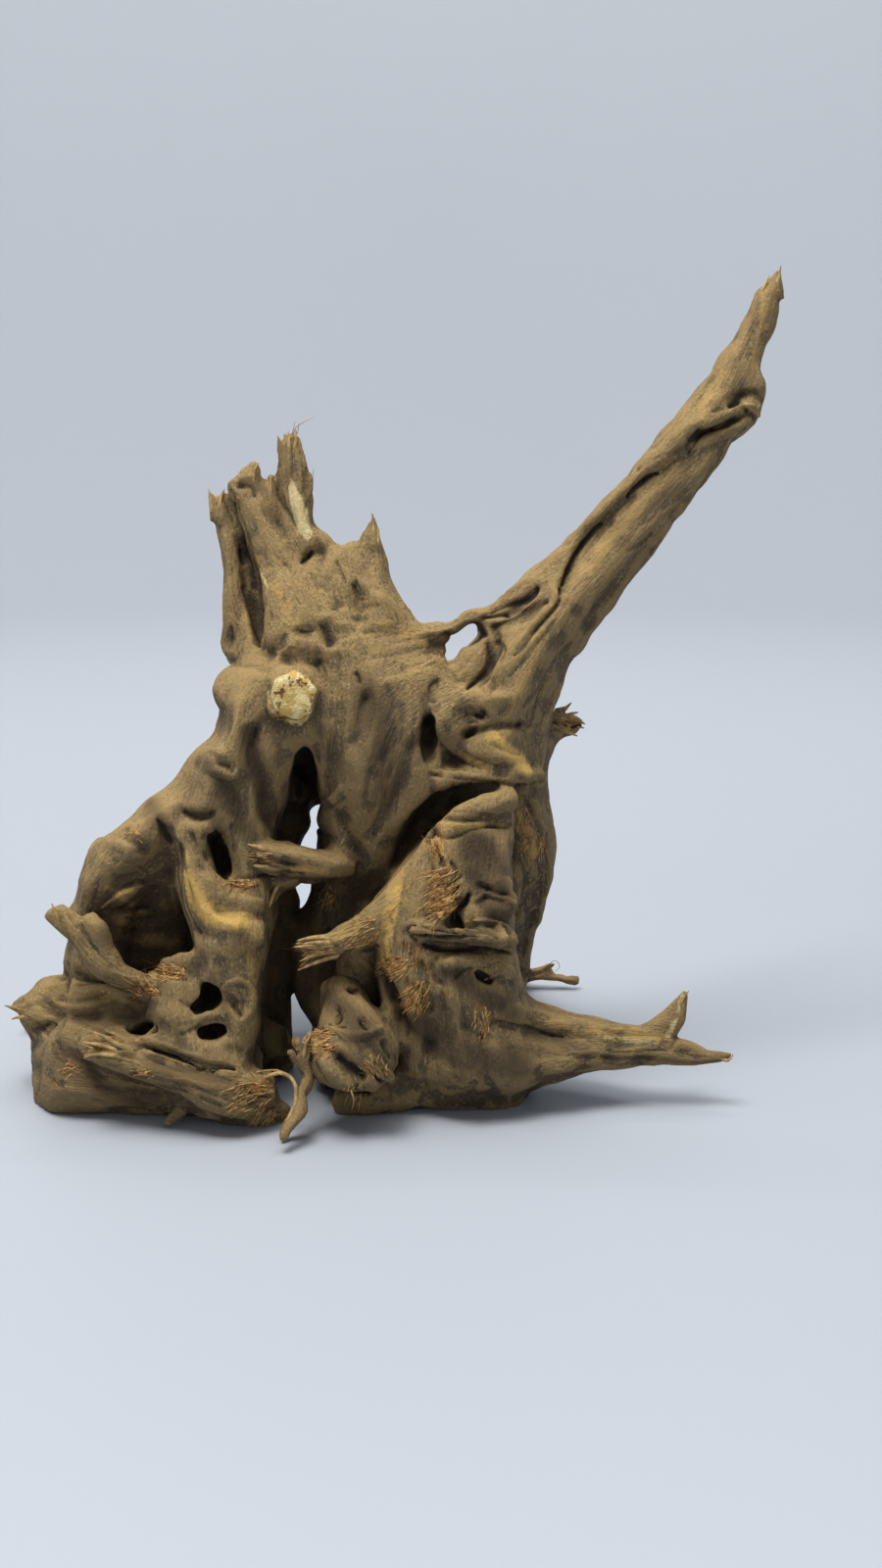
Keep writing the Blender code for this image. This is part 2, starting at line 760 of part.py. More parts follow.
# Strokes on the near side. Each is a ridge's height or, under 0, a groove's depth, then its stations on the
# board: across, up and half width.
NEAR_STROKES = (
    # Horn.
    (-6, ((86, 268, 2.5), (91, 279, 4), (96, 288, 4.5), (102.5, 295.5, 4.5), (111, 304, 3.5),
        (121, 314, 4), (129, 321, 4), (138, 328, 3), (147.5, 334, 2))),
    (-5, ((150, 336, 2), (155, 343, 4), (160, 347.5, 4), (167.5, 349, 3.5), (176, 353.5, 2))),
    (-3, ((106, 293, 3), (116, 301, 6.5), (126, 311, 7), (135, 319, 5), (142.5, 326, 2.5))),
    (3.5, ((95, 294, 3), (106, 307, 4.5), (120, 321, 5), (133, 333, 5), (145, 343, 4.5),
        (157.5, 352, 4), (170, 358, 4), (181, 362.5, 3.5), (188, 357.5, 2.5))),
    (-3, ((171, 362, 2.5), (179, 366, 3.5), (187, 365, 3))),
    (-5, ((47.5, 253, 2.5), (57.5, 258, 3.5), (66, 262, 3.5), (74.5, 268.5, 2))),
    (-5, ((87.5, 268, 2.5), (85, 261, 3.5), (79, 254, 4), (72.5, 247, 4), (66, 240, 3.5),
        (61, 232, 2.5))),
    (-4, ((52.5, 247, 3.5), (61, 252, 4.5), (72.5, 256, 4), (81, 263, 2.5))),
    (-6, ((50, 248, 3), (51.5, 240, 4), (50, 231.5, 4.5), (46, 223, 4), (39, 218, 2.5))),
    (4, ((54, 221, 3), (62.5, 234, 4), (70.5, 244.5, 4), (79, 256, 3.5), (86, 266, 2.5))),
    (-3, ((100, 248, 3.5), (112.5, 268, 5), (130, 290.5, 5), (150, 315.5, 4), (167.5, 337, 2.5))),
    # Brow.
    (-6, ((18.5, 195.5, 4), (20, 207, 4), (20.5, 216, 3), (24, 222, 2))),
    (4, ((26, 202, 7), (35, 212, 9), (47.5, 210, 8), (60, 212, 5))),
    (-5, ((42, 202.5, 3.5), (46.5, 202.5, 3.5))),
    (-4, ((38, 193, 3.5), (46, 195, 4.5), (56, 197, 4), (67, 198.5, 2.5))),
    (-3, ((23, 187, 3), (33, 179, 4), (45, 175.5, 3.5), (57.5, 173, 2.5))),
    (3, ((35, 185.5, 3.5), (50, 183, 4.5), (65, 180.5, 4.5))),
    # Crown.
    (-6, ((-46.5, 280, 2.5), (-43, 284, 3.5), (-40, 286.5, 2))),
    (-4, ((-28, 280, 2.5), (-26, 268, 4), (-25, 261, 4.5), (-27.5, 257, 3))),
    (-4, ((-19, 270, 3), (-15, 263, 4.5), (-14, 258, 3.5))),
    (3, ((-21, 290, 2.5), (-17.5, 278, 3), (-13.5, 269.5, 3), (-6, 262, 3))),
    (-4, ((-35, 248, 3.5), (-32, 243, 4.5), (-33, 238, 3))),
    (-5, ((-72, 238, 4), (-64, 234, 4), (-58, 238, 3.5), (-54.5, 243, 2.5))),
    (-4, ((-50, 246.5, 2.5), (-45, 246, 3), (-40, 246.5, 2.5))),
    (-4, ((-84, 246, 3), (-83, 240, 4))),
    (-3, ((-51, 340.5, 2.5), (-50, 328, 3), (-51.5, 318, 2.5))),
    (-3, ((-59, 322, 2), (-57, 314, 3), (-53, 306, 3), (-49, 298, 2))),
    (-4, ((-80, 318.5, 3), (-74.5, 318.5, 4), (-69, 318, 3))),
    (-3, ((-88, 314, 2.5), (-83.5, 305, 3), (-78.5, 298, 2.5))),
    (3, ((-59, 236, 3), (-50, 239.5, 4), (-39, 238, 4), (-26, 234.5, 3))),
    (-5, ((-39, 232, 3), (-35, 226, 4), (-31, 223, 3))),
    (-4, ((-56, 232, 3), (-49, 231, 3.5), (-41, 230, 3))),
    (3, ((12.5, 247.5, 3), (-4, 252, 4), (-20, 254.5, 4), (-36, 252, 3))),
    (-4, ((23, 236, 3), (12, 234, 4), (2, 229, 4), (-6, 226, 2.5))),
    # Middle.
    (-4, ((-13, 212, 4), (-15, 200.5, 6), (-20, 189.5, 5))),
    (-3, ((4, 210.5, 4), (0, 195.5, 5.5), (-5, 180.5, 4.5))),
    (3, ((-6, 218, 4), (-7, 199, 5), (-11, 180, 4.5))),
    (3, ((-33, 199, 3), (-34.5, 183, 4), (-34, 165.5, 4), (-27.5, 159, 4))),
    (-3, ((10, 188, 4), (7, 173, 5), (0, 158, 5), (-9, 143, 4))),
    (-3, ((-25, 153, 4), (-22, 140.5, 5), (-14, 128, 4.5))),
    (-4, ((-69, 135, 2.5), (-64, 130, 3.5), (-54, 128, 3.5), (-46, 124, 2.5))),
    # Leg.
    (3, ((-98.5, 184, 3.5), (-92, 185.5, 4), (-86, 181, 3.5))),
    (4, ((-89, 175, 3.5), (-82, 173, 4))),
    (-4, ((-86.5, 178.5, 2.5), (-81, 176.5, 2.5))),
    (-5, ((-69, 197, 4.5), (-69, 182, 6.5), (-64, 167, 8), (-62, 150.5, 6.5), (-55, 140.5, 4))),
    (3, ((-78, 210, 5), (-80, 193, 6), (-81, 175.5, 5))),
    (-5, ((-106, 152, 3), (-98.5, 151, 4.5), (-91, 152, 3))),
    (-4, ((-106.5, 135, 3), (-106, 120.5, 3.5), (-104, 107, 3.5), (-98, 93, 3))),
    (4, ((-108.5, 144, 3), (-102.5, 128, 3.5), (-98.5, 112, 4), (-91, 99, 4.5), (-79, 95, 4))),
    (-4, ((-119, 150, 3), (-116.5, 143, 4), (-113, 137, 3))),
    (-4, ((-140, 143, 4), (-132.5, 137, 5), (-125, 133, 4))),
    (4, ((-147, 104.5, 3), (-139, 110, 4), (-130.5, 116, 3))),
    (4, ((-139, 101, 3), (-131.5, 101, 3.5), (-124, 102, 2.5))),
    # Foot.
    (-4, ((-170, 71, 3), (-155, 67.5, 4), (-141, 65, 4), (-128, 62, 3))),
    (4, ((-172.5, 62, 3.5), (-157.5, 63, 4), (-141, 59.5, 4), (-129, 55, 3))),
    (-5, ((-178, 56, 3.5), (-170, 50, 4.5), (-158, 48, 4.5), (-148, 50, 3))),
    (-5, ((-177.5, 43, 3), (-169, 43, 3))),
    (-5, ((-147, 41, 2.5), (-134, 38, 3.5), (-124, 31.5, 4), (-109, 27, 4), (-97, 22.5, 3.5),
        (-79, 21.5, 2.5))),
    (3, ((-125, 23, 4), (-107.5, 18, 4.5), (-90, 14, 4.5))),
    (-3, ((-170, 33, 4), (-160, 27, 5), (-147.5, 18, 5))),
    (-5, ((-82, 57, 3.5), (-78, 54.5, 3.5))),
    # Block.
    (-4, ((22, 150, 3), (35, 149, 3.5), (50, 149, 3.5), (61, 146.5, 2.5))),
    (-6, ((18, 143.5, 3.5), (22, 142, 3.5))),
    (-4, ((44, 134, 7), (46, 118, 8))),
    (4, ((23, 137, 4), (26, 125, 5), (29.5, 114, 5.5), (26, 101, 5), (20, 90.5, 3.5))),
    (-5, ((28, 95, 3.5), (35, 97, 3.5))),
    (4, ((9, 96, 3.5), (22.5, 94, 4), (36, 90.5, 4), (50, 88.5, 4), (62, 88, 3))),
    (-5, ((11, 86, 3), (25, 83, 4), (41, 83, 4), (57, 82.5, 3))),
    (-5, ((45, 70.5, 3.5), (51, 69.5, 3.5))),
    (4, ((44, 116.5, 3), (52.5, 118, 3.5), (61, 115.5, 3))),
    (-5, ((45, 109.5, 3), (52.5, 108.5, 4), (60, 109.5, 3))),
    (4, ((44, 102, 3), (52.5, 100.5, 3.5), (61, 102.5, 3))),
    (-4, ((63.5, 143, 3.5), (63, 125.5, 4), (65, 110.5, 4), (63.5, 95.5, 3))),
    (3, ((72.5, 158, 3.5), (71, 143, 4.5), (71.5, 123, 4))),
    (-5, ((12.5, 75.5, 3.5), (17, 63, 4.5), (20.5, 48, 5), (18, 30.5, 4))),
    (4, ((28, 75.5, 4), (31, 58, 5), (34, 38, 4.5), (39, 18, 3.5))),
    (-4, ((46, 40.5, 3.5), (48, 25.5, 4.5), (51, 12, 3.5))),
    (-3, ((70, 103, 4), (74, 88, 4.5), (72.5, 68, 3.5))),
    # Right root.
    (-4, ((50, 46, 3), (65, 43, 4), (79, 40, 4), (92.5, 38.5, 2.5))),
    (-4, ((67.5, 62, 3), (84, 55.5, 4), (101, 52, 3))),
    (3, ((62.5, 54, 3.5), (84, 47.5, 4.5), (106, 43, 4.5), (127.5, 42, 3.5))),
    (-4, ((107.5, 29, 2.5), (127.5, 27.5, 3.5), (151, 30.5, 2.5))),
    (-3, ((120, 50.5, 2.5), (131, 52, 3.5), (142, 51, 2.5))),
    (3, ((80, 23, 4), (100, 24, 4.5), (120, 28, 3.5))),
)
# The same behind, seen square from there in the finished frame.
BACK_STROKES = (
    # Legs.
    (-4, ((62, 225, 6), (78, 185, 8), (100, 140, 8), (122, 95, 7), (142, 50, 5))),
    (4, ((74, 215, 6), (90, 180, 7), (112, 135, 7), (134, 88, 6), (152, 45, 5))),
    (-3, ((50, 200, 5), (68, 165, 6), (90, 120, 6), (112, 75, 5))),
    (-4, ((10, 215, 6), (-8, 175, 8), (-20, 130, 8), (-24, 85, 6), (-14, 40, 5))),
    (4, ((-2, 205, 5), (-18, 165, 7), (-30, 125, 7), (-32, 85, 5))),
    # Trunk.
    (-6, ((36, 192, 5), (38, 165, 8), (40, 145, 5))),
    (3, ((26, 225, 6), (28, 190, 7), (30, 160, 6))),
    (3, ((48, 225, 6), (48, 190, 7), (46, 160, 5))),
    (4, ((28, 240, 9), (37, 242, 9))),
    (-5, ((31, 241, 4), (34, 241, 4))),
    # Crown.
    (-4, ((75, 300, 4), (70, 270, 7), (62, 240, 6))),
    (-4, ((54, 312, 4), (52, 282, 7), (48, 252, 6))),
    (3, ((65, 302, 4), (61, 274, 6), (56, 246, 6))),
    (-3, ((26, 272, 4), (20, 252, 6), (14, 236, 5))),
    # Horn.
    (-4, ((-70, 240, 5), (-95, 275, 7), (-120, 310, 7), (-150, 345, 6), (-170, 375, 4))),
    (4, ((-80, 232, 5), (-108, 270, 7), (-135, 306, 7), (-160, 338, 5))),
    (-5, ((-98, 264, 5), (-104, 270, 5))),
    # Plate.
    (-4, ((-78, 170, 4), (-74, 135, 6), (-74, 95, 6), (-75, 60, 4))),
    (3, ((-84, 160, 4), (-82, 125, 5), (-82, 90, 5))),
    (3, ((-66, 165, 4), (-66, 130, 5), (-68, 95, 5))),
)

LIMBS = (
    horn,
    trunk,
    crown,
    cut_stub,
    left_leg,
    left_foot,
    tongue,
    root_block,
    right_leg,
    back,
    rootlets,
)


def floor_slab(bm):
    """The ground, whose top is the height 0."""
    lowered = Matrix.Translation((0, 0, -FLOOR_SLAB / 2 * MM))
    bmesh.ops.create_cube(bm, size=FLOOR_SLAB * MM, matrix=lowered)


def mesh_object(name, builders, collection):
    """An object of all that the builders add."""
    bm = bmesh.new()
    for build in builders:
        build(bm)
    bmesh.ops.recalc_face_normals(bm, faces=bm.faces)
    mesh = bpy.data.meshes.new(name)
    bm.to_mesh(mesh)
    bm.free()
    obj = bpy.data.objects.new(name, mesh)
    collection.objects.link(obj)
    return obj


def apply_modifiers(obj):
    """The object with its modifiers worked into its mesh."""
    graph = bpy.context.evaluated_depsgraph_get()
    mesh = bpy.data.meshes.new_from_object(obj.evaluated_get(graph))
    obj.modifiers.clear()
    obj.data = mesh


def fuse(obj, voxel):
    """One skin around limbs that run through each other."""
    remesh = obj.modifiers.new("fuse", "REMESH")
    remesh.mode = "VOXEL"
    remesh.voxel_size = voxel * MM
    apply_modifiers(obj)


def cut(obj, cutter):
    """The object less the cutter."""
    boolean = obj.modifiers.new("cut", "BOOLEAN")
    boolean.operation = "DIFFERENCE"
    boolean.solver = "EXACT"
    boolean.object = cutter
    apply_modifiers(obj)


def soften(obj, steps):
    """Creases rounded over, with thin twigs kept at their size by a push back out after each pull in."""
    for _ in range(steps):
        for factor in (SOFTEN_IN, SOFTEN_OUT):
            smooth = obj.modifiers.new("weather", "SMOOTH")
            smooth.factor = factor
            smooth.iterations = 1
    apply_modifiers(obj)


def swell(obj, size, height):
    """Gentle rises and dips of the given size, as rot leaves them."""
    texture = bpy.data.textures.new("rot", "CLOUDS")
    texture.noise_scale = size * MM
    displace = obj.modifiers.new("rot", "DISPLACE")
    displace.texture = texture
    displace.texture_coords = "LOCAL"
    displace.strength = height * MM
    displace.mid_level = 0.5
    apply_modifiers(obj)


def near_board(co):
    """Across and up on the board and the way to the eye, for points in metres."""
    rays = co - np.array(place(EYE_ACROSS, EYE_UP, -EYE_DISTANCE))
    reach = rays @ np.array(AWAY) / EYE_DISTANCE
    across = EYE_ACROSS + rays @ np.array(ACROSS) / reach
    up = EYE_UP + rays @ np.array(UP) / reach
    return across, up, -rays / np.linalg.norm(rays, axis=1)[:, None]


def back_board(co):
    """The same for a view square from behind."""
    return -co[:, 0] / MM, co[:, 2] / MM, np.tile((0.0, 1.0, 0.0), (len(co), 1))


def stroke_share(across, up, rows):
    """How far each point lies from a stroke's middle line, as a share of its half width."""
    share = np.full(len(across), FAR_OFF)
    for a, b in zip(rows, rows[1:]):
        run = b[:2] - a[:2]
        dx = across - a[0]
        dy = up - a[1]
        t = np.clip((dx * run[0] + dy * run[1]) / (run @ run + TINY), 0, 1)
        off = np.hypot(dx - t * run[0], dy - t * run[1])
        share = np.minimum(share, off / (a[2] + t * (b[2] - a[2])))
    return share


def carve(obj, strokes, board):
    """The strokes worked into the side of the wood that faces the board."""
    mesh = obj.data
    co = np.empty(len(mesh.vertices) * 3)
    mesh.vertices.foreach_get("co", co)
    co = co.reshape(-1, 3)
    normals = np.empty(co.size)
    mesh.vertex_normals.foreach_get("vector", normals)
    normals = normals.reshape(-1, 3)
    across, up, toward = board(co)
    facing = np.clip(2 * (toward * normals).sum(1), 0, 1)
    rise = np.zeros(len(co))
    for height, stations in strokes:
        spans = len(stations) - 1
        rows = np.array([curve_through(stations, k / STROKE_STEPS) for k in range(STROKE_STEPS * spans + 1)])
        reach = rows[:, 2].max()
        low = rows[:, :2].min(0) - reach
        high = rows[:, :2].max(0) + reach
        near = np.nonzero((across > low[0]) & (across < high[0]) & (up > low[1]) & (up < high[1]))[0]
        share = stroke_share(across[near], up[near], rows)
        rise[near] += height * np.clip(1 - share ** 2, 0, 1) ** 2
    rise *= facing
    tree = BVHTree.FromPolygons(co.tolist(), [face.vertices[:] for face in mesh.polygons])
    for i in np.nonzero(rise)[0]:
        start = Vector(co[i] + (normals[i] + toward[i]) * MM)
        if tree.ray_cast(start, Vector(toward[i]))[0] is not None:
            rise[i] = 0
    mesh.vertices.foreach_set("co", (co + normals * (rise * MM)[:, None]).ravel())
    mesh.update()


def keep_largest(obj):
    """Only the largest connected piece, without the crumbs that the floor cut leaves."""
    bm = bmesh.new()
    bm.from_mesh(obj.data)
    left = set(bm.verts)
    pieces = []
    while left:
        piece = set()
        edge = [left.pop()]
        while edge:
            vert = edge.pop()
            piece.add(vert)
            for link in vert.link_edges:
                other = link.other_vert(vert)
                if other in left:
                    left.remove(other)
                    edge.append(other)
        pieces.append(piece)
    pieces.sort(key=len)
    for piece in pieces[:-1]:
        bmesh.ops.delete(bm, geom=list(piece), context="VERTS")
    bm.to_mesh(obj.data)
    bm.free()


def weathered_wood():
    """Dry brown-grey root wood."""
    material = bpy.data.materials.new("weathered wood")
    material.use_nodes = True
    shader = material.node_tree.nodes["Principled BSDF"]
    shader.inputs["Base Color"].default_value = (0.155, 0.107, 0.055, 1)
    shader.inputs["Roughness"].default_value = 0.85
    return material


def main():
    for obj in list(bpy.data.objects):
        bpy.data.objects.remove(obj)
    parts = bpy.data.collections.new("horn driftwood")
    cutters = bpy.data.collections.new("cutters")
    bpy.context.scene.collection.children.link(parts)
    bpy.context.scene.collection.children.link(cutters)
    # The limbs run through each other, so each stage ends in one skin around them.
    wood = mesh_object("driftwood", LIMBS, parts)
    fuse(wood, VOXEL)
    holes = mesh_object("hollows", [hollows], cutters)
    fuse(holes, HOLLOW_VOXEL)
    cut(wood, holes)
    fuse(wood, VOXEL)
    soften(wood, SOFTEN_STEPS)
    for size, height in ROT:
        swell(wood, size, height)
    carve(wood, NEAR_STROKES, near_board)
    carve(wood, BACK_STROKES, back_board)
    fuse(wood, VOXEL)
    soften(wood, CARVED_STEPS)
    decimate = wood.modifiers.new("facets", "DECIMATE")
    decimate.ratio = TRIANGLES / (2 * len(wood.data.polygons))
    apply_modifiers(wood)
    cut(wood, mesh_object("floor", [floor_slab], cutters))
    keep_largest(wood)
    wood.data.materials.clear()
    wood.data.materials.append(weathered_wood())
    wood.data.shade_smooth()
    for cutter in cutters.objects:
        cutter.hide_render = True
        cutter.display_type = "WIRE"


main()
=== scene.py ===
import math
import random

import bmesh
import bpy
import numpy as np
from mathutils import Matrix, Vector
from mathutils.bvhtree import BVHTree


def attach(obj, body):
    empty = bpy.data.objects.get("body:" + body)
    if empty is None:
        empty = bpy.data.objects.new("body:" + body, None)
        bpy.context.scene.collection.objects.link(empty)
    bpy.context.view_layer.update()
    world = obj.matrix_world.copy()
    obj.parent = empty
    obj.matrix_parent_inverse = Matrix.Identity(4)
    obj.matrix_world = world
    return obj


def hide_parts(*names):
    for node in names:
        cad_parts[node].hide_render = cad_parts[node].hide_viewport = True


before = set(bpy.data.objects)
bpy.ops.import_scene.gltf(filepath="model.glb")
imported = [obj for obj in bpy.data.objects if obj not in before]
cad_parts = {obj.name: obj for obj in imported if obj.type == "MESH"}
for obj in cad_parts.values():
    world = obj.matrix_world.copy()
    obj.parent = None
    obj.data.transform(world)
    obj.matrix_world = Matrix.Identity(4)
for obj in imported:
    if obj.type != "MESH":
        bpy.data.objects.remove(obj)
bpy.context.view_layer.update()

# The driftwood is one dry root of hardwood, grown whole: a long horn, a broken crown, a sawn stub and
# spread feet. Water and rot have eaten it smooth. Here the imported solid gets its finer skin, with its
# facets rounded over, its splinters grown on, and every crack, fold, pit and line of grain worked in.
MM = 0.001
MERGE_WITHIN = 0.01
solid = bmesh.new()
solid.from_mesh(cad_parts["driftwood"].data)
bmesh.ops.remove_doubles(solid, verts=solid.verts, dist=MERGE_WITHIN * MM)
bmesh.ops.recalc_face_normals(solid, faces=solid.faces)
solid_tree = BVHTree.FromBMesh(solid)

# The eye that saw the wood, in metres, and its ways across, up and away.
EYE = Vector((0.0278, -1.0571, 0.3768))
LOOK_DOWN = math.radians(12)
ACROSS = Vector((1, 0, 0))
UP = Vector((0, math.sin(LOOK_DOWN), math.cos(LOOK_DOWN)))
AWAY = Vector((0, math.cos(LOOK_DOWN), -math.sin(LOOK_DOWN)))
# The photograph's middle in its pixels, and how many pixels off a board would stand that matches it one for
# one.
MIDDLE_X = 450
MIDDLE_Y = 800
PIXELS_AWAY = 2044

# Splinters: pixel, millimetres nearer the eye than the splinter's root, and half width in millimetres.
SPLINTERS = (
    # Left spike's two tips.
    ((222, 530, 0, 3.5), (218, 515, 1, 2.2), (215, 503, 2, 0.8)),
    ((226, 530, 0, 3.5), (228, 515, 1, 2), (228.5, 503, 1, 0.8)),
    # Second spike's bumps.
    ((246, 510, 0, 4), (240, 498, 0, 3), (238, 491, 0, 1.2)),
    ((256, 505, 0, 5), (256, 488, 0, 4.5), (259, 477, 0, 2.5), (262, 474, 0, 0.8)),
    # Short spike between the second and the tall one.
    ((276, 515, 0, 4), (276, 500, 1, 2.5), (276, 487, 1, 0.7)),
    # Tall spike, its side splinters and hairs' roots.
    ((294, 480, 0, 3.5), (293, 460, 0, 2.6), (292, 449, 0, 1.6), (290, 441, 0, 0.6)),
    ((290, 470, 0, 3), (286, 455, 1, 1.6), (283, 444, 1, 0.6)),
    ((298, 475, 0, 3), (299, 455, 0, 1.6), (300, 443, 0, 0.6)),
    ((306, 500, 0, 4), (309, 480, 0, 2.5), (307, 462, 0, 1.4), (304, 449, 0, 0.6)),
    ((312, 510, 0, 3), (316, 494, -1, 2), (317, 482, -1, 0.7)),
    # Right spike.
    ((381, 560, 0, 6), (381, 545, 0, 4), (381, 535, 0, 2.2), (381, 526, 0, 0.8)),
    ((376, 560, 0, 4), (373, 548, 0, 2), (371, 542, 0, 0.8)),
    # Horn's tip.
    ((788, 300, 0, 4), (793, 285, 0, 2.6), (795, 275, 0, 1.2)),
    ((792, 305, 0, 3), (796, 292, 0, 2), (798, 276, 0, 0.8)),
    # Ridge's splintered end.
    ((345, 962, 0, 4.5), (325, 961, 2, 3.6), (310, 962, 3, 2.2), (302, 964, 3, 0.8)),
    ((345, 972, 0, 4), (325, 974, 2, 3), (312, 982, 3, 1.8), (305, 988, 3, 0.7)),
    ((350, 966, 0, 4), (332, 968, 3, 2.5), (318, 970, 4, 0.8)),
    ((352, 955, 0, 3), (334, 956, 2, 1.8), (322, 957, 2, 0.6)),
    # Cross stub's torn left end.
    ((285, 874, 0, 5), (266, 868, 2, 4), (254, 864, 2, 2.4), (250, 863, 2, 1)),
    ((285, 886, 0, 4), (268, 884, 2, 2.6), (256, 880, 2, 0.9)),
    ((300, 896, 0, 3.5), (278, 902, 2, 2.6), (255, 899, 2, 2), (236, 904, 2, 0.7)),
    ((290, 902, 0, 2.2), (281, 911, 2, 1.8), (276, 924, 3, 0.8)),
    # Ragged stub at the right of the brow.
    ((572, 735, 0, 4.5), (582, 734, 0, 3.4), (590, 735, 0, 1.8), (596, 738, 0, 0.7)),
    ((568, 728, 0, 3.5), (574, 724, 0, 2), (577, 720, 0, 0.8)),
    ((572, 742, 0, 3.5), (581, 744, 0, 2), (587, 747, 0, 0.7)),
    ((574, 738, 0, 3), (584, 741, 0, 1.8), (594, 742, 0, 0.6)),
    # Frayed tips of the left foot's strand.
    ((140, 1068, 0, 4), (120, 1058, 2, 2), (108, 1052, 3, 0.7)),
    ((135, 1076, 0, 4), (112, 1068, 2, 2.5), (92, 1063, 3, 0.8)),
    ((130, 1082, 0, 4), (105, 1078, 2, 2.2), (86, 1078, 3, 0.7)),
    # Left foot's own tip.
    ((30, 1030, 0, 4), (16, 1028, 0, 2.2), (6, 1027, 0, 0.8)),
    # Twig in front of the gap, down to the ground.
    ((314, 1092, 0, 1.6), (308, 1077, 2, 1.3), (300, 1061, 4, 0.8)),
    ((315, 1090, 0, 1.6), (317, 1073, 2, 1.3), (321, 1057, 3, 0.8)),
    ((313, 1094, 0, 1.5), (304, 1082, 2, 1.1), (295, 1073, 5, 0.7)),
    ((312, 1108, 0, 2.0), (311, 1126, 6, 2.4), (303, 1143, 13, 2.6), (294, 1158, 18, 2.6),
     (292, 1164, 20, 2.0)),
    # Twig behind the block, with its two prongs.
    ((536, 995, 0, 2.2), (548, 993, 0, 2.2), (558, 988, 0, 2), (566, 983, 0, 1.2)),
    ((540, 996, 0, 2.2), (556, 996, 0, 2), (574, 999, 0, 1.7), (589, 1001, 0, 1.2)),
    # Right root's fork and prong.
    ((680, 1045, 0, 5), (690, 1028, 0, 3.6), (696, 1015, 0, 2.4), (699, 1010, 0, 1)),
    ((664, 1052, 0, 5), (674, 1042, 0, 4.5), (684, 1028, 0, 3), (690, 1017, 0, 1.4)),
    ((686, 1066, 0, 5), (700, 1068, 0, 4), (716, 1074, 0, 3)),
    ((715, 1078, 0, 4), (735, 1078, 0, 3), (747, 1076, 0, 1.2)),
)


def sight(px, py):
    """The way from the eye through a pixel of the photograph."""
    return (ACROSS * (px - MIDDLE_X) - UP * (py - MIDDLE_Y) + AWAY * PIXELS_AWAY).normalized()


def hit(px, py, tree):
    """Where the sight through a pixel meets the wood, or nothing."""
    return tree.ray_cast(EYE, sight(px, py))[0]


def strand_curve(name, strands, roundness):
    """A mesh of tapering strands, each a list of points and half widths in metres."""
    curve = bpy.data.curves.new(name, "CURVE")
    curve.dimensions = "3D"
    curve.bevel_depth = 1.0
    curve.bevel_resolution = roundness
    curve.use_fill_caps = True
    for strand in strands:
        spline = curve.splines.new("POLY")
        spline.points.add(len(strand) - 1)
        for slot, (point, half) in zip(spline.points, strand):
            slot.co = (*point, 1)
            slot.radius = half
    obj = bpy.data.objects.new(name, curve)
    bpy.context.scene.collection.objects.link(obj)
    graph = bpy.context.evaluated_depsgraph_get()
    mesh = bpy.data.meshes.new_from_object(obj.evaluated_get(graph))
    bpy.data.objects.remove(obj)
    return mesh


def curve_through(rows, t):
    """The smooth curve through a list of number tuples, at t counted in stations."""
    last = len(rows) - 1
    i = min(int(t), last - 1)
    f = t - i
    a, b, c, d = (rows[max(0, min(last, i + k))] for k in (-1, 0, 1, 2))
    out = []
    for p, q, r, s in zip(a, b, c, d):
        out.append(q + 0.5 * f * (r - p + f * (2 * p - 5 * q + 4 * r - s + f * (3 * (q - r) + s - p))))
    return out


def smooth_rows(rows, steps):
    """A row list with several rows to each of its spans."""
    return [curve_through(rows, k / steps) for k in range(steps * (len(rows) - 1) + 1)]


SPLINTER_STEPS = 4
SPLINTER_ROUNDNESS = 3
# How far a splinter's root is sunk into the wood, as a share of its half width.
SPLINTER_SUNK = 0.8


def standing_strands(table, tree, sunk_share):
    """Strands through pixels, each at its root's distance from the eye less what its stations say."""
    strands = []
    for stations in table:
        root = hit(stations[0][0], stations[0][1], tree)
        if root is None:
            continue
        sunk = (root - EYE) @ AWAY + stations[0][3] * sunk_share * MM
        strand = []
        for px, py, nearer, half in smooth_rows(stations, SPLINTER_STEPS):
            ray = sight(px, py)
            strand.append((EYE + ray * ((sunk - nearer * MM) / (ray @ AWAY)), half * MM))
        strands.append(strand)
    return strands


def worked_in(obj):
    """The object with its modifiers worked into its mesh."""
    graph = bpy.context.evaluated_depsgraph_get()
    mesh = bpy.data.meshes.new_from_object(obj.evaluated_get(graph))
    obj.modifiers.clear()
    obj.data = mesh


splinter_strands = standing_strands(SPLINTERS, solid_tree, SPLINTER_SUNK)
solid.from_mesh(strand_curve("splinters", splinter_strands, SPLINTER_ROUNDNESS))
skin_mesh = bpy.data.meshes.new("driftwood_skin")
solid.to_mesh(skin_mesh)
solid.free()
driftwood = bpy.data.objects.new("driftwood_skin", skin_mesh)
bpy.context.scene.collection.objects.link(driftwood)
SKIN_VOXEL = 1.05
remesh = driftwood.modifiers.new("skin", "REMESH")
remesh.mode = "VOXEL"
remesh.voxel_size = SKIN_VOXEL * MM
worked_in(driftwood)

